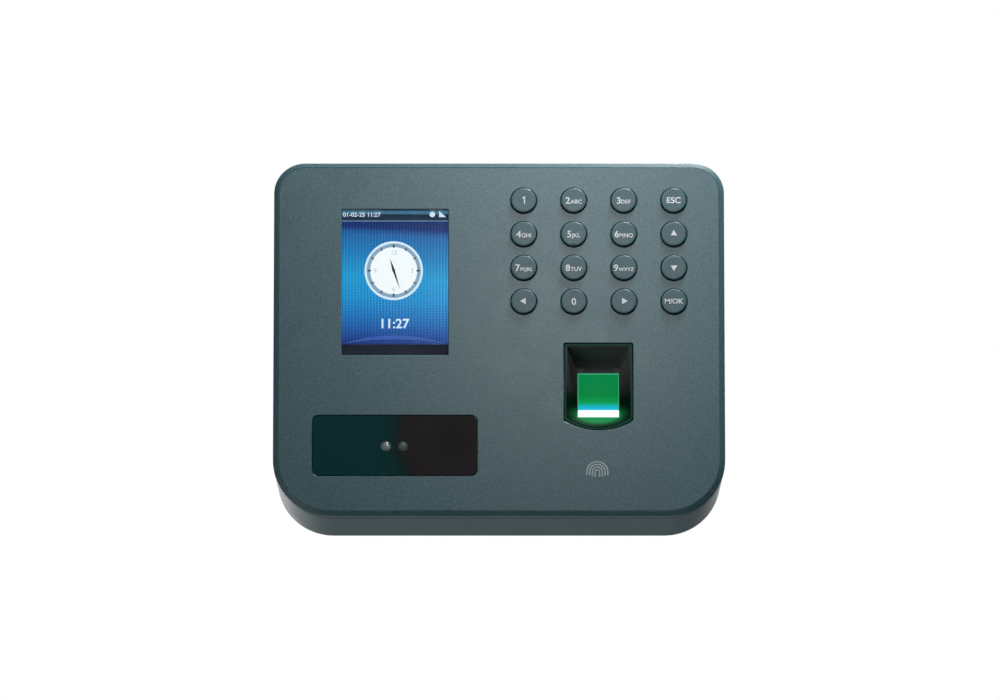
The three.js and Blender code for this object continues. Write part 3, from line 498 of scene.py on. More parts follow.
def arc(x, z, radius, start, end, steps):
    """Points along an arc between two angles in degrees, anticlockwise from +X."""
    angles = [radians(start + (end - start) * step / steps) for step in range(steps + 1)]
    return [(x + radius * cos(angle), z + radius * sin(angle)) for angle in angles]


def circle(x, z, radius, steps=64):
    return arc(x, z, radius, 0, 360, steps)[:-1]


def circle_outline(x, z, radius, steps=48):
    """A circle's outline, as a function of its inset."""
    return lambda inset: circle(x, z, radius - inset, steps)


def box_outline(low_x, high_x, low_z, high_z, radius, bottom_radius=None, steps=8):
    """A box's outline with round corners, anticlockwise from the top right, as a function of its inset."""
    bottom_radius = bottom_radius or radius
    corners = [(high_x, high_z, -1, -1, radius), (low_x, high_z, 1, -1, radius),
               (low_x, low_z, 1, 1, bottom_radius), (high_x, low_z, -1, 1, bottom_radius)]
    tiny = 1e-5

    def outline(inset):
        points = []
        for turn, (x, z, inward_x, inward_z, round_by) in enumerate(corners):
            shift = max(round_by, inset + tiny)
            points += arc(x + inward_x * shift, z + inward_z * shift, max(round_by - inset, tiny),
                          90 * turn, 90 * (turn + 1), steps)
        return points

    return outline


def at_depth(points, y):
    return [Vector((x, y, z)) for x, z in points]


def prism(name, points, front, back):
    """A straight-sided solid from an outline of (x, z) points, between two depths."""
    return loft(name, [at_depth(points, front), at_depth(points, back)])


def layered(name, outline, steps):
    """A solid through an outline at each step of (inset, depth)."""
    return loft(name, [at_depth(outline(inset), y) for inset, y in steps])


def plate(name, outline, front, back, edge, steps=3):
    """A flat piece between two depths whose front and back edges are rounded."""
    turns = [step / steps * pi / 2 for step in range(steps + 1)]
    rounding = [(edge * (1 - sin(turn)), edge * (1 - cos(turn))) for turn in turns]
    near = [(inset, front + depth) for inset, depth in rounding]
    far = [(inset, back - depth) for inset, depth in reversed(rounding)]
    return layered(name, outline, near + far)


def front_cutter(outline, back, flare):
    """A cutter through the case's front to a depth, with a small chamfer round its mouth."""
    ahead = MM
    return layered("cutter", outline, [(-flare - ahead, FRONT - ahead), (-flare, FRONT),
                                       (0, FRONT + flare), (0, back)])


def back_cutter(outline, depth, back, flare):
    """A cutter into a rear face at y = back, down to a depth, with a small chamfer round its mouth."""
    behind = MM
    return layered("cutter", outline, [(0, depth), (0, back - flare), (-flare, back),
                                       (-flare - behind, back + behind)])


def drill(x, z, radius, front, back):
    """A round cutter from one depth to another."""
    return layered("drill", circle_outline(x, z, radius), [(0, front), (0, back)])


def turned(name, profile, centre, axis="y", steps=48):
    """A turned solid from a profile of (radius, distance along the axis)."""
    rings = []
    for radius, along in profile:
        ring = []
        for u, v in circle(0, 0, radius, steps):
            offset = {"x": (along, u, v), "y": (u, along, v), "z": (u, v, along)}[axis]
            ring.append(centre + Vector(offset))
        rings.append(ring)
    return loft(name, rings)


def bevelled(name, bm, edge):
    """A new object from a bmesh, with its edges rounded where there's a width for it."""
    if edge:
        bmesh.ops.bevel(bm, geom=list(bm.edges), offset=edge, segments=2, affect="EDGES", profile=0.5)
    return object_of(name, bm)


def block(name, low, high, edge=0.0):
    """A box between two corners, with rounded edges."""
    bm = bmesh.new()
    bmesh.ops.create_cube(bm, size=1)
    middle, size = (Vector(low) + Vector(high)) / 2, Vector(high) - Vector(low)
    for vertex in bm.verts:
        vertex.co = [m + share * s for m, share, s in zip(middle, vertex.co, size)]
    return bevelled(name, bm, edge)


def baked_mesh(source):
    """An object's mesh with its modifiers or its lettering worked out."""
    bpy.context.view_layer.update()
    graph = bpy.context.evaluated_depsgraph_get()
    return bpy.data.meshes.new_from_object(source.evaluated_get(graph))


def apply_modifiers(piece):
    mesh = baked_mesh(piece)
    piece.modifiers.clear()
    piece.data = mesh


def combine(piece, others, operation):
    """Cuts other solids from a piece or joins them to it, and removes them."""
    for other in others:
        change = piece.modifiers.new("combine", "BOOLEAN")
        change.operation = operation
        change.solver = "EXACT"
        change.object = other
        apply_modifiers(piece)
        bpy.data.objects.remove(other)
    smooth_by_angle(piece.data)


def cut(piece, *others):
    combine(piece, others, "DIFFERENCE")


def fuse(piece, *others):
    combine(piece, others, "UNION")


def joined(name, parts):
    """One object from several separate solids."""
    bm = bmesh.new()
    for part in parts:
        bm.from_mesh(part.data)
        bpy.data.objects.remove(part)
    return object_of(name, bm)


def even_normals(piece):
    """Keeps broad flat faces flat where a narrow rounded edge meets them."""
    weigh = piece.modifiers.new("weigh", "WEIGHTED_NORMAL")
    weigh.keep_sharp = True
    weigh.weight = 60
    apply_modifiers(piece)
    return piece


def add(piece, slot, *nodes, body="case", look=None):
    """Gives a piece its look, which is its slot's unless another is named, attaches it to its body, and hides
    the CAD nodes it stands for.
    """
    piece.data.materials.clear()
    piece.data.materials.append(LOOKS[look or slot])
    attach(piece, body)
    if nodes:
        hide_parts(*nodes)
    return piece


def weld(mesh):
    """Joins a mesh's doubled points, so that its faces close."""
    bm = bmesh.new()
    bm.from_mesh(mesh)
    bmesh.ops.remove_doubles(bm, verts=bm.verts, dist=1e-7)
    bm.to_mesh(mesh)
    bm.free()


def lettering(name, words, size, x, y, z, align="CENTER"):
    """Flat lettering that faces the front, as a thin mesh."""
    curve = bpy.data.curves.new(name, "FONT")
    curve.body = words
    curve.size = size
    curve.align_x = align
    curve.extrude = LEGEND_DEPTH / 2
    curve.offset = LEGEND_WEIGHT * size
    curve.resolution_u = 4
    source = new_object(name, curve)
    source.rotation_euler = (pi / 2, 0, 0)
    source.location = (x, y, z)
    mesh = baked_mesh(source)
    mesh.transform(source.matrix_world)
    weld(mesh)
    made = new_object(name, mesh)
    bpy.data.objects.remove(source)
    return made


def printed(name, points, y):
    """A thin inked shape that lies in a surface at y."""
    return prism(name, points, y - LEGEND_DEPTH / 2, y + LEGEND_DEPTH / 2)


# ---- Case ----

def case_outline(inset, bottom_radius=BOTTOM_RADIUS):
    """The case's outline, set in by a distance."""
    sides = (-HALF_WIDTH, HALF_WIDTH, -HALF_HEIGHT, HALF_HEIGHT)
    return box_outline(*sides, TOP_RADIUS, bottom_radius, CORNER_STEPS)(inset)


def case_solid(name, inset, front, back):
    return layered(name, case_outline, [(inset, front), (inset, back)])


def cover_edge():
    """The front edge in steps: a fine groove, a shallow slope, then an arc round to the side."""
    slope_width = EDGE_WIDTH - EDGE_ROUND * (1 - sin(EDGE_SLOPE))
    slope_depth = slope_width * tan(EDGE_SLOPE)
    steps = [(EDGE_WIDTH + 2 * GROOVE, FRONT), (EDGE_WIDTH + GROOVE, FRONT + GROOVE),
             (EDGE_WIDTH, FRONT + 0.2 * GROOVE)]
    for step in range(EDGE_STEPS + 1):
        angle = EDGE_SLOPE + (pi / 2 - EDGE_SLOPE) * step / EDGE_STEPS
        depth = slope_depth + EDGE_ROUND * (cos(EDGE_SLOPE) - cos(angle))
        steps.append((EDGE_ROUND * (1 - sin(angle)), FRONT + depth))
    return steps


def display_opening():
    middle = place("display_window")[2]
    half_x, half_z = (size / 2 for size in DISPLAY_OPENING)
    return middle.x - half_x, middle.x + half_x, middle.z - half_z, middle.z + half_z


def box_of(node_name, grow):
    """A node's sides in X and Z, moved out by a distance."""
    low, high, _ = place(node_name)
    return low.x - grow, high.x + grow, low.z - grow, high.z + grow


def front_openings(behind):
    """Cutters for the keys, the display, the camera pane in its step, and the reader."""
    keys = []
    for key in KEY_LEGENDS:
        centre = place(key)[2]
        hole = circle_outline(centre.x, centre.z, KEY_RADIUS + KEY_GAP)
        keys.append(front_cutter(hole, behind, 0.3 * MM))
    camera_step = box_outline(*box_of("camera_window", 0.25 * MM), CAMERA_CORNER)
    camera_hole = box_outline(*box_of("camera_window", -2 * MM), MM)
    return [
        joined("cutter", keys),
        front_cutter(box_outline(*display_opening(), 0.4 * MM), behind, 0.3 * MM),
        front_cutter(camera_step, place("camera_window")[1].y + 0.3 * MM, 0.15 * MM),
        front_cutter(camera_hole, behind, 0.1 * MM),
        front_cutter(reader_outline, behind, 0.12 * MM),
    ]


def front_cover():
    inside, behind = FRONT + PLATE, COVER_RIM + 2 * MM
    rim = [(0, COVER_RIM - RIM_EDGE), (RIM_EDGE, COVER_RIM)]
    shell = layered("cover_shell", case_outline, cover_edge() + rim)
    cut(shell, case_solid("cutter", WALL, inside, behind), *front_openings(behind))
    add(even_normals(shell), "case_plastic", "front_cover")
    lip = case_solid("cover_lip", WALL + 0.7 * MM, inside + 0.05 * MM, behind)
    cut(lip, case_solid("cutter", WALL + 1.9 * MM, inside - MM, behind + MM))
    add(lip, "case_plastic")


def housing_ring(inset, y):
    """The rear housing's drafted outline at a depth, set in by a distance."""
    share = (y - HOUSING_LOW.y) / (BACK - HOUSING_LOW.y)
    draft = FRONT_DRAFT + (BACK_DRAFT - FRONT_DRAFT) * share
    bottom_radius = BOTTOM_RADIUS + (BACK_BOTTOM_RADIUS - BOTTOM_RADIUS) * share
    return at_depth(case_outline(inset + draft, bottom_radius), y)


def bracket_space(grow, depth):
    """Blocks for the space that the bracket and its tongue take in the housing's back."""
    high = place("wall_bracket")[1]
    half_width = high.x + BRACKET_CLEARANCE + grow
    half_height = BRACKET_HALF_HEIGHT + BRACKET_CLEARANCE + grow
    tongue = TONGUE_HALF_WIDTH + MM + grow
    behind = MM
    return [block("space", (-half_width, depth, -half_height), (half_width, behind, half_height)),
            block("space", (-tongue, depth, 0), (tongue, behind, high.z + 0.6 * MM + grow))]


def housing_shell(floor):
    """The drafted tub with its hollow, which leaves room for a recess down to a floor."""
    rim, edge, lead = HOUSING_LOW.y, MM, 0.3 * MM
    rings = [housing_ring(lead, rim), housing_ring(0, rim + lead), housing_ring(0, BACK - edge)]
    for degrees in (22, 45, 67, 90):
        angle = radians(degrees)
        rings.append(housing_ring(edge * (1 - cos(angle)), BACK - edge * (1 - sin(angle))))
    shell = loft("housing_shell", rings)
    hollow = loft("cutter", [housing_ring(WALL, rim - MM), housing_ring(WALL, BACK - WALL)])
    cut(hollow, *bracket_space(WALL, floor - BACK_WALL))
    cut(shell, hollow)
    return shell


def at_screws(name, profile):
    """The same turned solid at each housing screw, as one object."""
    centres = [place(screw)[2] for screw in HOUSING_SCREWS]
    return joined(name, [turned(name, profile, Vector((centre.x, 0, centre.z))) for centre in centres])


def back_cutters(floor):
    """Cutters in the recess's floor for the wiring bay, the hooks, the tongue and the tamper plunger."""
    ahead, behind = floor - 5 * MM, floor + MM
    bay = back_cutter(box_outline(*BAY, 1.5 * MM), ahead, floor, 0.4 * MM)
    hooks = []
    for x in (-HOOK_SPREAD, HOOK_SPREAD):
        for height in HOOK_HEIGHTS:
            slot = box_outline(x - 5 * MM, x + 5 * MM, height - 5.7 * MM, height + 1.8 * MM, 0.8 * MM)
            hooks.append(plate("slot", slot, ahead, floor + 2 * MM, 0.01 * MM))
    top, width = place("wall_bracket")[1].z, TONGUE_HALF_WIDTH + MM
    tongue = block("cutter", (-width, ahead, top - 2.1 * MM), (width, behind, top + 0.6 * MM))
    tamper = place("tamper_plunger")[2]
    return [bay, joined("cutter", hooks), tongue, drill(tamper.x, tamper.z, 2.4 * MM, ahead, behind)]


def speaker_slot(y, z):
    """A cutter with round ends through the left side."""
    shift, radius = mm(6.3, 0.7)
    points = arc(y, z + shift, radius, 0, 180, 8) + arc(y, z - shift, radius, 180, 360, 8)
    return loft("cutter", [[Vector((x, *point)) for point in points] for x in mm(-95, -80)])


def side_cutters():
    """Cutters for the lock screw above, the speaker's slots, and the USB and reset holes on the right."""
    lock, speaker, button = (place(name)[2] for name in ("bracket_screw", "speaker_frame", "reset_button"))
    lock_profile = [mm(1.75, -10), mm(1.75, 0), mm(3.2, 0), mm(3.2, 20)]
    slots = [speaker_slot(speaker.y + step * 3 * MM, speaker.z) for step in (-2, -1, 0, 1, 2)]
    low, high, _ = place("usb_port")
    gap = 0.3 * MM
    return [
        turned("bore", lock_profile, Vector((lock.x, lock.y, LOCK_SEAT)), "z"),
        joined("cutter", slots),
        block("cutter", (80 * MM, low.y - gap, low.z - gap), (95 * MM, high.y + gap, high.z + gap), 0.4 * MM),
        turned("bore", [mm(1.7, 82), mm(1.7, 95)], Vector((0, button.y, button.z)), "x"),
    ]


def rear_housing():
    floor = place("wall_bracket")[1].y - RECESS_DEPTH
    shell = housing_shell(floor)
    overlap = BACK - 0.1 * MM
    posts = at_screws("posts", [(4.4 * MM, COVER_RIM + 15 * MM), (4.4 * MM, overlap)])
    lock_pad = block("pad", (-7 * MM, -13 * MM, place("bracket_screw")[2].z + 0.4 * MM),
                     (7 * MM, overlap, HALF_HEIGHT - 2 * MM))
    fuse(shell, posts, lock_pad)
    bores = at_screws("bores", [mm(1.75, -25), mm(1.75, -8), mm(3.2, -8), (3.2 * MM, BACK - 0.4 * MM),
                                (3.6 * MM, BACK), (3.6 * MM, BACK + MM)])
    cut(shell, *bracket_space(0, floor), bores, *back_cutters(floor), *side_cutters())
    add(even_normals(shell), "case_plastic", "rear_housing")


# ---- Keys ----

def key_cap(key):
    low, _, middle = place(key)
    profile = [mm(0.3, 0.03), mm(2.2, 0.02), mm(3.8, 0.005), mm(4.6, 0), mm(4.82, 0.05), mm(4.94, 0.14),
               mm(5, 0.3), mm(5, 3.7), mm(6.2, 3.7), mm(6.2, 4.7), mm(2, 4.7), mm(2, 5.7)]
    cap = turned(f"{key}_cap", profile, Vector((middle.x, low.y, middle.z)))
    add(even_normals(cap), "key_plastic", key, body=key)


def arrow_points(x, z, turn):
    """A small triangle that points up, turned anticlockwise by degrees."""
    return arc(x, z, 1.55 * MM, 90 + turn, 330 + turn, 2)


def digit_one(half_height, z):
    """A figure 1 with its flag, standing beside x = 0."""
    shares = [(-0.12, -1), (0.22, -1), (0.22, 1), (-0.02, 1), (-0.5, 0.66), (-0.5, 0.34), (-0.12, 0.56)]
    return [(x * half_height, z + height * half_height) for x, height in shares]


def key_words(name, big, small, y, z):
    """A key's large figure and small letters as separate pieces, not yet in their places across."""
    words = []
    if big == "1":
        words.append(printed(name, digit_one(1.5 * MM, z), y))
    elif big:
        words.append(lettering(name, big, 3.8 * MM, 0, y, z - 1.5 * MM, "LEFT"))
    many = len(small) > 3
    if big:
        size, drop = (2.0 if many else 2.35) * MM, 1.5 * MM
    else:
        size = (2.9 if many else 3.5) * MM
        drop = 0.36 * size
    if small:
        words.append(lettering(name + "_letters", small, size, 0, y, z - drop, "LEFT"))
    return words


def centre_row(words, x, gap):
    """Sets pieces of lettering side by side, with the whole row centred on x."""
    widths = []
    for word in words:
        across = [vertex.co.x for vertex in word.data.vertices]
        widths.append((min(across), max(across)))
    total = sum(right - left for left, right in widths) + gap * (len(words) - 1)
    cursor = x - total / 2
    for word, (left, right) in zip(words, widths):
        for vertex in word.data.vertices:
            vertex.co.x += cursor - left
        cursor += right - left + gap


def key_legend(key):
    low, _, middle = place(key)
    big, small = KEY_LEGENDS[key]
    name = f"{key}_legend"
    if big in ARROW_TURNS:
        words = [printed(name, arrow_points(middle.x, middle.z, ARROW_TURNS[big]), low.y)]
    else:
        words = key_words(name, big, small, low.y, middle.z)
        centre_row(words, middle.x, 0.15 * MM)
    for word in words:
        add(word, "white_plastic", body=key, look="legend_ink")


def keypad():
    for key in KEY_LEGENDS:
        key_cap(key)
        key_legend(key)
    low, _, middle = place("key_5")
    half = 0.8 * MM
    nub = block("key_5_nub", (middle.x - half, low.y - 0.2 * MM, middle.z - 4.3 * MM),
                (middle.x + half, low.y + 0.3 * MM, middle.z - 3.9 * MM), 0.15 * MM)
    add(nub, "key_plastic", body="key_5")


def keypad_mat():
    """The silicone sheet under the keys, and a dome for each key, each with a mesh of its own."""
    low, high, _ = place("keypad_mat")
    sheet_front = low.y + DOME_HEIGHT
    sheet = block("keypad_sheet", (low.x, sheet_front, low.z), high, 0.3 * MM)
    holes = [drill(x, z, 2.3 * MM, low.y, high.y + MM) for x, z in KEYPAD_STAKES]
    cut(sheet, joined("cutter", holes))
    add(sheet, "silicone", "keypad_mat")
    profile = [mm(0.3, 0.04), mm(2.4, 0), mm(2.9, 0.1), (3.9 * MM, DOME_HEIGHT - 0.05 * MM),
               (3.95 * MM, DOME_HEIGHT)]
    for key in KEY_LEGENDS:
        centre = place(key)[2]
        dome = turned(f"{key}_dome", profile, Vector((centre.x, low.y, centre.z)))
        add(dome, "silicone")
        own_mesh(dome)


# ---- Fingerprint reader ----

def rounded_corner(before, corner, after, radius, steps=5):
    """Points of a small curve in place of a corner."""
    before, corner, after = Vector(before), Vector(corner), Vector(after)
    start = corner + (before - corner).normalized() * radius
    end = corner + (after - corner).normalized() * radius
    shares = [step / steps for step in range(steps + 1)]
    return [tuple(start * (1 - t) ** 2 + corner * 2 * t * (1 - t) + end * t ** 2) for t in shares]


def finger_outline(inset, half_width, top, side_end, sag):
    """A finger opening: straight sides and top, an arc at the bottom, and small round corners."""
    x = place("fingerprint_prism")[2].x
    half, top, side_end = half_width - inset, top - inset, side_end + inset
    radius = (half ** 2 + sag ** 2) / (2 * sag)
    reach = asin(half / radius) * (180 / pi)
    bottom = arc(x, side_end - sag + radius, radius, -90 - reach, -90 + reach, 24)
    right, left = (x + half, top), (x - half, top)
    corners = ((left, bottom[0], bottom[2]), (bottom[-3], bottom[-1], right),
               (bottom[-1], right, left), (right, left, bottom[0]))
    first, *others = [rounded_corner(*corner, READER_CORNER) for corner in corners]
    return [*first, *bottom[2:-2], *(point for corner in others for point in corner)]


def reader_outline(inset):
    return finger_outline(inset, *READER_OPENING)


def glass_depth(z):
    """How far back the slanted glass plane is at a height."""
    return GLASS_TOP_DEPTH + GLASS_SLOPE * (z - place("fingerprint_prism")[1].z)


def mouth(steps=12):
    """A cutter for the finger recess's bowl, from its lip back to the slanted floor."""
    front = at_depth(reader_outline(READER_LIP), FRONT + 0.2 * MM)
    floor = [Vector((x, glass_depth(z) + 0.4 * MM, z)) for x, z in finger_outline(0, *READER_FLOOR)]
    rings = [[point + Vector((0, -MM, 0)) for point in front]]
    for step in range(steps + 1):
        t = step / steps
        slide = t ** 1.25
        rings.append([Vector((near.x + (far.x - near.x) * slide, near.y + (far.y - near.y) * t,
                              near.z + (far.z - near.z) * slide)) for near, far in zip(front, floor)])
    return loft("cutter", rings)


def fingertip_notch():
    """A cutter for a shallow notch above the glass, for the tip of the finger."""
    top_half, bottom_half, height, depth = FINGERTIP_NOTCH
    _, high, middle = place("fingerprint_prism")
    points = [(middle.x - bottom_half, high.z), (middle.x + bottom_half, high.z),
              (middle.x + top_half, high.z + height), (middle.x - top_half, high.z + height)]
    back = glass_depth(high.z) + depth
    return prism("cutter", points, back - 6 * MM, back)


def finger_recess():
    back = place("fingerprint_bezel")[1].y
    margin, gap = MM, 0.2 * MM
    body = layered("recess_body", reader_outline, [(margin, FRONT + 0.35 * MM), (margin, back)])
    glass_low, glass_high, _ = place("fingerprint_prism")
    seat = block("cutter", (glass_low.x - gap, FRONT, place("sensor_light_bar")[0].z - gap),
                 (glass_high.x + gap, 0, glass_high.z + gap))
    cut(body, mouth(), seat, fingertip_notch())
    add(even_normals(body), "black_plastic", "fingerprint_bezel", look="recess_plastic")


def recess_rim():
    """The green lip round the recess's mouth."""
    front, margin = FRONT + 0.15 * MM, 0.3 * MM
    rim = plate("recess_rim", lambda inset: reader_outline(inset + margin), front, FRONT + 3 * MM, 0.25 * MM)
    steps = ((-0.5 * MM, FRONT - MM), (-0.4 * MM, front), (0, FRONT + 0.8 * MM),
             (0.1 * MM, FRONT + 5 * MM))
    cut(rim, layered("cutter", lambda inset: reader_outline(READER_LIP + inset), steps))
    add(even_normals(rim), "black_plastic", look="rim_plastic")


def reader_glass():
    """The glass and its light bar, whose fronts lie in the slanted glass plane."""
    for node_name, name, slot in (("fingerprint_prism", "reader_glass", "sensor_glass"),
                                  ("sensor_light_bar", "reader_light_bar", "light_bar")):
        low, high, _ = place(node_name)
        bm = bmesh.new()
        bmesh.ops.create_cube(bm, size=1)
        for vertex in bm.verts:
            x = high.x if vertex.co.x > 0 else low.x
            z = high.z if vertex.co.z > 0 else low.z
            vertex.co = (x, high.y if vertex.co.y > 0 else glass_depth(z), z)
        add(bevelled(name, bm, 0.2 * MM), slot, node_name)


# ---- Display ----

def layer_front(layer):
    """How far back a layer's front is; higher layers lie in front of lower ones."""
    return place("display_glass")[0].y - layer * SCREEN_LAYER


def screen_shape(name, points, layer, ink):
    """A thin shape on the display's surface."""
    front = layer_front(layer)
    return add(prism(name, points, front, front + SCREEN_LAYER), "screen", look=f"screen_{ink}")


def screen_text(name, words, size, x, z, layer, ink, align="CENTER"):
    piece = lettering(name, words, size, x, layer_front(layer), z, align)
    return add(piece, "screen", look=f"screen_{ink}")


def hand_points(x, z, degrees, length, tail, width):
    """A clock hand's outline, its angle clockwise from twelve o'clock."""
    angle = radians(90 - degrees)
    middle, along = Vector((x, z)), Vector((cos(angle), sin(angle)))
    aside = Vector((-along.y, along.x)) * width / 2
    return [tuple(corner) for corner in
            (middle + along * length, middle + aside, middle - along * tail, middle - aside)]


def bar_between(start, end, width):
    """A straight bar's outline between two points."""
    start, end = Vector(start), Vector(end)
    across = (end - start).normalized().orthogonal() * width / 2
    return [tuple(corner) for corner in (start + across, start - across, end - across, end + across)]


def on_dial(x, z, degrees, radius):
    """A point on the clock, which is a little taller than wide, clockwise from twelve o'clock."""
    angle = radians(degrees)
    return x + radius * sin(angle), z + radius * cos(angle) * DIAL_STRETCH


def dial(x, z, radius):
    return [(px, z + (pz - z) * DIAL_STRETCH) for px, pz in circle(x, z, radius)]


def dial_ring(name, x, z, radius, inner, layer, ink):
    ring = screen_shape(name, dial(x, z, radius), layer, ink)
    front = layer_front(layer)
    cut(ring, prism("cutter", dial(x, z, inner), front - MM, front + MM))


def clock(x, z):
    """The clock on the display: a white ring, a ring of ticks, a pale face with numbers, and two hands."""
    dial_ring("clock_ring", x, z, DIAL_RIM, DIAL_TRACK, 2, "white")
    dial_ring("clock_track", x, z, DIAL_TRACK, DIAL_FACE, 2, "track")
    screen_shape("clock_face", dial(x, z, DIAL_FACE), 2, "face")
    for hour in range(12):
        ends = [on_dial(x, z, 30 * hour, reach) for reach in (DIAL_TRACK - 0.4 * MM, DIAL_FACE - 0.3 * MM)]
        width = (0.5 if hour % 3 else 0.7) * MM
        screen_shape(f"clock_tick_{hour + 1}", bar_between(*ends, width), 3, "tick")
    for number, side, rise in ((12, 0, 1), (3, 1, 0), (6, 0, -1), (9, -1, 0)):
        screen_text(f"clock_number_{number}", str(number), 2.6 * MM, x + 7.4 * MM * side,
                    z + 7.6 * MM * rise - 0.9 * MM, 3, "faint")
    screen_shape("hour_hand", hand_points(x, z, 343, *mm(5.4, 1.6, 1.1)), 4, "dark")
    screen_shape("minute_hand", hand_points(x, z, 162, *mm(8.6, 1.8, 0.9)), 5, "dark")
    screen_shape("clock_hub", circle(x, z, 0.6 * MM, 20), 6, "dark")


def arch(x, z, radius, thickness, spread, steps=24):
    """A shallow arch that thins to its ends, over a spread of degrees either side of the top."""
    outer = arc(x, z, radius, 90 + spread, 90 - spread, steps)
    inner = []
    for step in range(1, steps):
        angle = radians(90 + spread - 2 * spread * step / steps)
        reach = radius - thickness * sin(pi * step / steps)
        inner.append((x + reach * cos(angle), z + reach * sin(angle)))
    return [*outer, *reversed(inner)]


def screen_bands(left, right, bottom, top):
    """The bars across the top and foot of the display, which reach past its opening."""
    margin = 0.8 * MM
    bar_bottom, above = top - 3.8 * MM, top + 2 * margin
    for name, low, high, layer, ink in (
            ("status_bar", bar_bottom, above, 1, "bar"),
            ("status_gloss", top - 1.1 * MM, above, 1.5, "gloss"),
            ("status_line", bar_bottom - 0.2 * MM, bar_bottom, 1, "line"),
            ("footer_band", bottom - margin, bottom + 5.3 * MM, 1, "dark")):
        start, end = left - margin, right + margin
        screen_shape(name, [(start, low), (end, low), (end, high), (start, high)], layer, ink)


def screen_content():
    left, right, bottom, top = display_opening()
    middle = (left + right) / 2
    screen_bands(left, right, bottom, top)
    screen_shape("footer_glow", arch(middle, bottom - 52 * MM, 61 * MM, 1.5 * MM, 19), 1, "glow")
    screen_text("status_digits", "01-02-25 11:27", 2.45 * MM, left + 0.4 * MM, top - 2.1 * MM,
                2, "white", "LEFT")
    screen_shape("status_dot", circle(right - 6.4 * MM, top - 1.2 * MM, 1.15 * MM, 24), 2, "white")
    wedge = [(right + x, top + z) for x, z in (mm(-3.7, -2.3), mm(-0.9, -2.3), mm(-3.7, 0.3))]
    screen_shape("status_wedge", wedge, 2, "white")
    clock(middle - 0.5 * MM, bottom + 35.9 * MM)
    screen_text("screen_time", "11:27", 5.4 * MM, middle - 0.3 * MM, bottom + 12.1 * MM, 2, "white")


def pane(name, node_name, radius, edge):
    """A flat piece with rounded edges and corners that fills a CAD node's box."""
    low, high, _ = place(node_name)
    return plate(name, box_outline(*box_of(node_name, 0), radius), low.y, high.y, edge)


def display():
    for name, node_name, slot, edge in (("display_pane", "display_window", "clear_window", 0.12 * MM),
                                        ("display_panel", "display_glass", "screen", 0.1 * MM)):
        add(even_normals(pane(name, node_name, 0.5 * MM, edge)), slot, node_name)
    screen_content()


# ---- Cameras ----

def camera_lens(node_name, name, lens_look, ring_look):
    """A camera module behind the pane, and its domed lens in a thin ring set into the pane's hole."""
    low, high, middle = place(node_name)
    body = block(f"{name}_body", (low.x, low.y + 1.4 * MM, low.z), high, 0.2 * MM)
    add(body, "black_plastic", node_name, look=ring_look)
    front = Vector((middle.x, place("camera_window")[0].y, middle.z))
    barrel = [(2.15 * MM, low.y + 1.3 * MM - front.y), mm(2.15, 0.12), mm(2.05, 0.03), mm(1.85, 0.03),
              mm(1.75, 0.3), mm(0.2, 0.3)]
    add(turned(f"{name}_barrel", barrel, front), "black_plastic", look=ring_look)
    dome = [mm(0.12, 0.02), mm(0.6, 0.04), mm(1.1, 0.1), mm(1.5, 0.19), mm(1.7, 0.26)]
    add(turned(f"{name}_lens", dome, front), "lens", look=lens_look)


def cameras():
    low, high, _ = place("camera_window")
    window = pane("camera_pane", "camera_window", CAMERA_CORNER - 0.2 * MM, 0.15 * MM)
    centres = [place(node_name)[2] for node_name in ("visible_camera", "infrared_camera")]
    holes = [drill(centre.x, centre.z, 2.2 * MM, low.y - MM, high.y + MM) for centre in centres]
    cut(window, joined("cutter", holes))
    add(even_normals(window), "smoked_window", "camera_window")
    # The left camera wears the looks painted with a reflection, the right camera the darker ones.
    camera_lens("visible_camera", "left_camera", "lens", "lens_ring")
    camera_lens("infrared_camera", "right_camera", "dim_lens", "dim_lens_ring")


# ---- Mounting ----

def bracket_hooks():
    """The four hooks: each a ledge that stands off the plate, with its end turned up."""
    thick, reach = BRACKET_THICKNESS, -HOOK_REACH
    hooks = []
    for x in (-HOOK_SPREAD, HOOK_SPREAD):
        for foot in HOOK_HEIGHTS:
            low, right = (x - 4 * MM, reach, foot), x + 4 * MM
            hooks.append(block("hook", low, (right, -0.2 * MM, foot + thick), 0.2 * MM))
            hooks.append(block("hook", low, (right, reach + thick, foot + 5.8 * MM), 0.2 * MM))
    return hooks


def wall_bracket():
    low, high, _ = place("wall_bracket")
    thick, half, width = BRACKET_THICKNESS, BRACKET_HALF_HEIGHT, TONGUE_HALF_WIDTH
    base = plate("bracket_plate", box_outline(low.x, high.x, -half, half, 3 * MM), -thick, 0, 0.2 * MM)
    tongue = block("tongue", (-width, -thick, half - 5 * MM), (width, 0, high.z), 0.2 * MM)
    tab = block("tab", (-width, low.y, high.z - thick), (width, 0, high.z), 0.2 * MM)
    fuse(base, tongue, tab, *bracket_hooks())
    spread_x, spread_z = WALL_HOLE_SPREAD
    hole = [mm(2.25, -5), mm(2.25, -0.25), mm(2.5, 0), mm(2.5, 5)]
    holes = [turned("hole", hole, Vector((x, 0, z)))
             for x in (-spread_x, spread_x) for z in (-spread_z, spread_z)]
    lock = place("bracket_screw")[2]
    lock_hole = turned("hole", [mm(1.8, 60), mm(1.8, 80)], Vector((lock.x, lock.y, 0)), "z")
    cable = back_cutter(box_outline(*CABLE_HOLE, 3 * MM), -5 * MM, 0, 0.2 * MM)
    cut(base, joined("cutter", holes), lock_hole, cable)
    add(even_normals(base), "bracket_steel", "wall_bracket")


def screw_profile(length):
    """A pan-head screw from its head's top at 0, pointing along -axis."""
    return [mm(0.4, 0), mm(1.6, -0.04), mm(2.3, -0.22), mm(2.62, -0.55), mm(2.7, -0.95), mm(2.7, -1.75),
            mm(2.6, -1.9), mm(1.4, -1.9), (1.4 * MM, 0.8 * MM - length), (0.4 * MM, -length)]


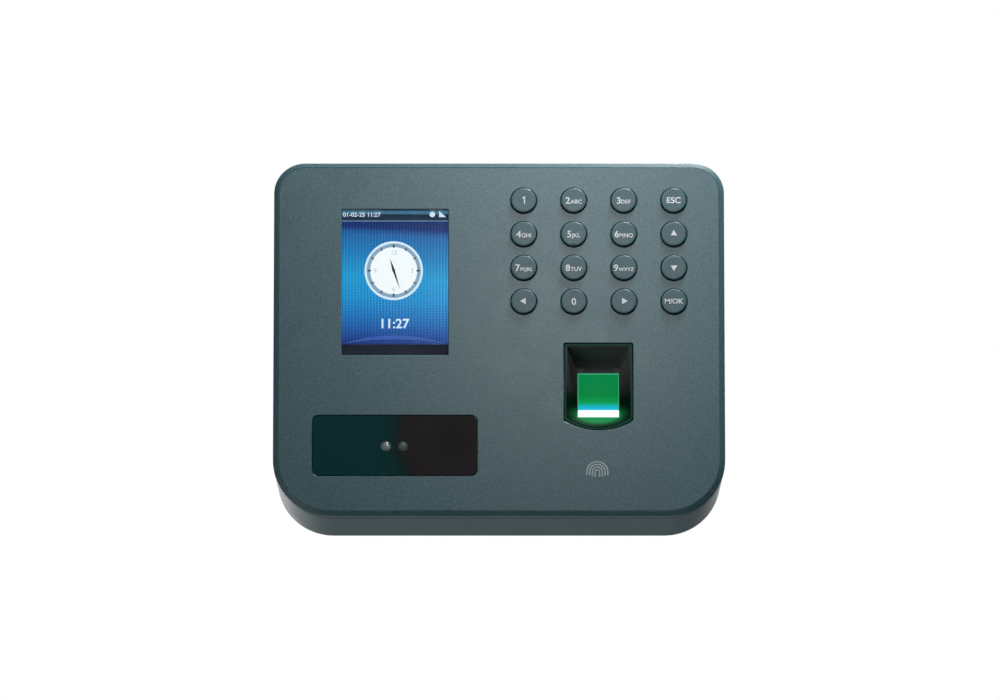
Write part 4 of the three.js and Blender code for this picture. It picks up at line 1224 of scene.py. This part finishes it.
def cross_cutter(centre, axis):
    """A cross recess in a screw's head, which faces along +axis."""
    arm, half, deep = mm(1.35, 0.32, 1.1)
    sizes = {"y": ((arm, deep, half), (half, deep, arm)), "z": ((arm, half, deep), (half, arm, deep))}[axis]
    return [block("cutter", centre - Vector(size), centre + Vector(size), 0.08 * MM) for size in sizes]


def screws():
    for name, axis in [(screw, "y") for screw in HOUSING_SCREWS] + [("bracket_screw", "z")]:
        low, high, top = place(name)
        way = "xyz".index(axis)
        top[way] = high[way]
        screw = turned(f"{name}_body", screw_profile(high[way] - low[way]), top, axis)
        cut(screw, *cross_cutter(top, axis))
        add(screw, "screw_steel", name)


# ---- Connectors and board ----

def usb_port():
    low, high, middle = place("usb_port")
    sheet = 0.35 * MM
    shell = block("usb_shell", low, high, sheet)
    cut(shell, block("cutter", (low.x + 2.5 * MM, low.y + sheet, low.z + sheet),
                     (high.x + 3 * MM, high.y - sheet, high.z - sheet), 0.3 * MM))
    add(shell, "sheet_steel", "usb_port")
    tongue = block("usb_tongue", (low.x + 2.3 * MM, low.y + 0.6 * MM, low.z + 1.2 * MM),
                   (high.x - 0.9 * MM, low.y + 2.4 * MM, high.z - 1.2 * MM), 0.15 * MM)
    add(tongue, "white_plastic")
    for i, offset in enumerate(mm(-3.5, -1.0, 1.0, 3.5)):
        z = middle.z + offset
        contact = block(f"usb_contact_{i + 1}", (low.x + 4 * MM, low.y + 2.35 * MM, z - 0.5 * MM),
                        (high.x - 1.6 * MM, low.y + 2.5 * MM, z + 0.5 * MM), 0.04 * MM)
        add(contact, "sheet_steel", look="gold_plate")


def terminal_screws():
    low, high, _ = place("wiring_terminals")
    for i in range(6):
        centre = Vector((low.x + 2.5 * MM + i * 5 * MM, high.y - 0.9 * MM, -10 * MM))
        head = turned(f"terminal_screw_{i + 1}", [mm(1.5, -0.45), mm(1.5, 0.2), mm(1.3, 0.4)], centre)
        slot = block("cutter", mm(-1.7, 0, -0.22), mm(1.7, 1, 0.22))
        turn = 0.35 * (i % 3 - 1)
        slot.data.transform(Matrix.Translation(centre) @ Matrix.Rotation(-turn, 4, "Y"))
        cut(head, slot)
        add(head, "screw_steel")


def ethernet_contacts():
    low, high, middle = place("ethernet_jack")
    for i in range(8):
        x = middle.x + (i - 3.5) * 1.02 * MM
        pin = block(f"ethernet_pin_{i + 1}", (x - 0.2 * MM, low.y + 1.9 * MM, low.z + 1.5 * MM),
                    (x + 0.2 * MM, low.y + 2.6 * MM, high.z - 4 * MM), 0.05 * MM)
        add(pin, "sheet_steel", look="gold_plate")


# ---- Mark ----

def reader_symbol():
    """A plain fingerprint sign of nested arches below the reader."""
    x, z = place("fingerprint_prism")[2].x - 0.5 * MM, SYMBOL_HEIGHT
    width, steps = 0.55 * MM, 20
    for i in range(4):
        radius, foot = (0.6 + 1.1 * i) * MM, z - (1.3 + 0.25 * (3 - i)) * MM
        outer, inner = arc(x, z, radius + width, 0, 180, steps), arc(x, z, radius, 180, 0, steps)
        points = [(x + radius + width, foot), *outer, (x - radius - width, foot),
                  (x - radius, foot), *inner, (x + radius, foot)]
        arch_piece = printed(f"reader_symbol_arch_{i + 1}", points, FRONT)
        add(arch_piece, "white_plastic", look="silver_ink")


# ---- Studio ----

def area_light(name, spot, target, size, power):
    data = bpy.data.lights.new(name, "AREA")
    data.energy, data.size = power, size
    lamp = new_object(name, data)
    lamp.location = spot
    lamp.rotation_euler = (Vector(target) - Vector(spot)).to_track_quat("-Z", "Y").to_euler()
    lamp.visible_camera = False


def surround():
    """A dark room with a few broad glows, which the camera itself sees as plain white."""
    world = bpy.data.worlds.new("studio")
    scene.world = world
    world.use_nodes = True
    world.node_tree.nodes.clear()
    way = node(world, "TexCoord").outputs["Generated"]
    total = 0.0
    for direction, core, edge, strength in GLOWS:
        facing = vector_math(world, "DOT_PRODUCT", way, direction, output="Value")
        inner, outer = cos(radians(core)), cos(radians(edge))
        fade = rescaled(world, facing, outer, inner, 0.0, strength, interpolation_type="SMOOTHSTEP")
        total = number_math(world, "ADD", fade, total)
    room = node(world, "Background", {"Color": (1, 1, 1, 1), "Strength": total}).outputs[0]
    plain = node(world, "Background", {"Color": (1, 1, 1, 1)}).outputs[0]
    seen = node(world, "LightPath").outputs["Is Camera Ray"]
    mix = node(world, "MixShader", {0: seen, 1: room, 2: plain}).outputs[0]
    node(world, "OutputWorld", {"Surface": mix})


def studio_floor():
    """A plain pale floor, well below the object, which doesn't shade or colour it."""
    reach = FLOOR_REACH
    floor = block("studio_floor", (-reach, -reach, FLOOR_HEIGHT - 0.01), (reach, reach, FLOOR_HEIGHT))
    spots = (400, srgb(116, 117, 116), srgb(124, 125, 124))
    values = {"Emission Strength": 0.75, "Emission Color": (1, 1, 1, 1)}
    floor.data.materials.append(plain_look("floor_paint", srgb(120, 121, 120), 0.8, spots, values=values))
    for ray in ("visible_diffuse", "visible_glossy", "visible_transmission", "visible_shadow"):
        setattr(floor, ray, False)


def view_camera():
    data = bpy.data.cameras.new("camera")
    data.sensor_width = 36
    data.lens = CAMERA_LENS
    camera = new_object("camera", data)
    scene.camera = camera
    elevation = radians(CAMERA_ELEVATION)
    back = Vector((0, -cos(elevation), sin(elevation)))
    distance = VIEW_WIDTH * data.lens / data.sensor_width
    camera.location = Vector(CAMERA_TARGET) + back * distance
    camera.rotation_euler = (-back).to_track_quat("-Z", "Y").to_euler()
    data.clip_end = 3 * distance
    scene.view_settings.view_transform = "Standard"


def studio():
    surround()
    studio_floor()
    for light in LIGHTS:
        area_light(*light)


# ---- Everything ----

def carried_over():
    """Gives each CAD node that stays its slot's look."""
    slots = {part["node"]: part["material_slot"] for part in frame["record"]["subparts"]}
    for name, shown in frame["nodes"].items():
        for material_slot in shown.material_slots:
            material_slot.material = LOOKS[slots[name]]


view_camera()
studio()
carried_over()
for build in (front_cover, rear_housing, keypad, keypad_mat, finger_recess, recess_rim, reader_glass, display,
              cameras, wall_bracket, screws, usb_port, terminal_screws, ethernet_contacts, reader_symbol):
    build()
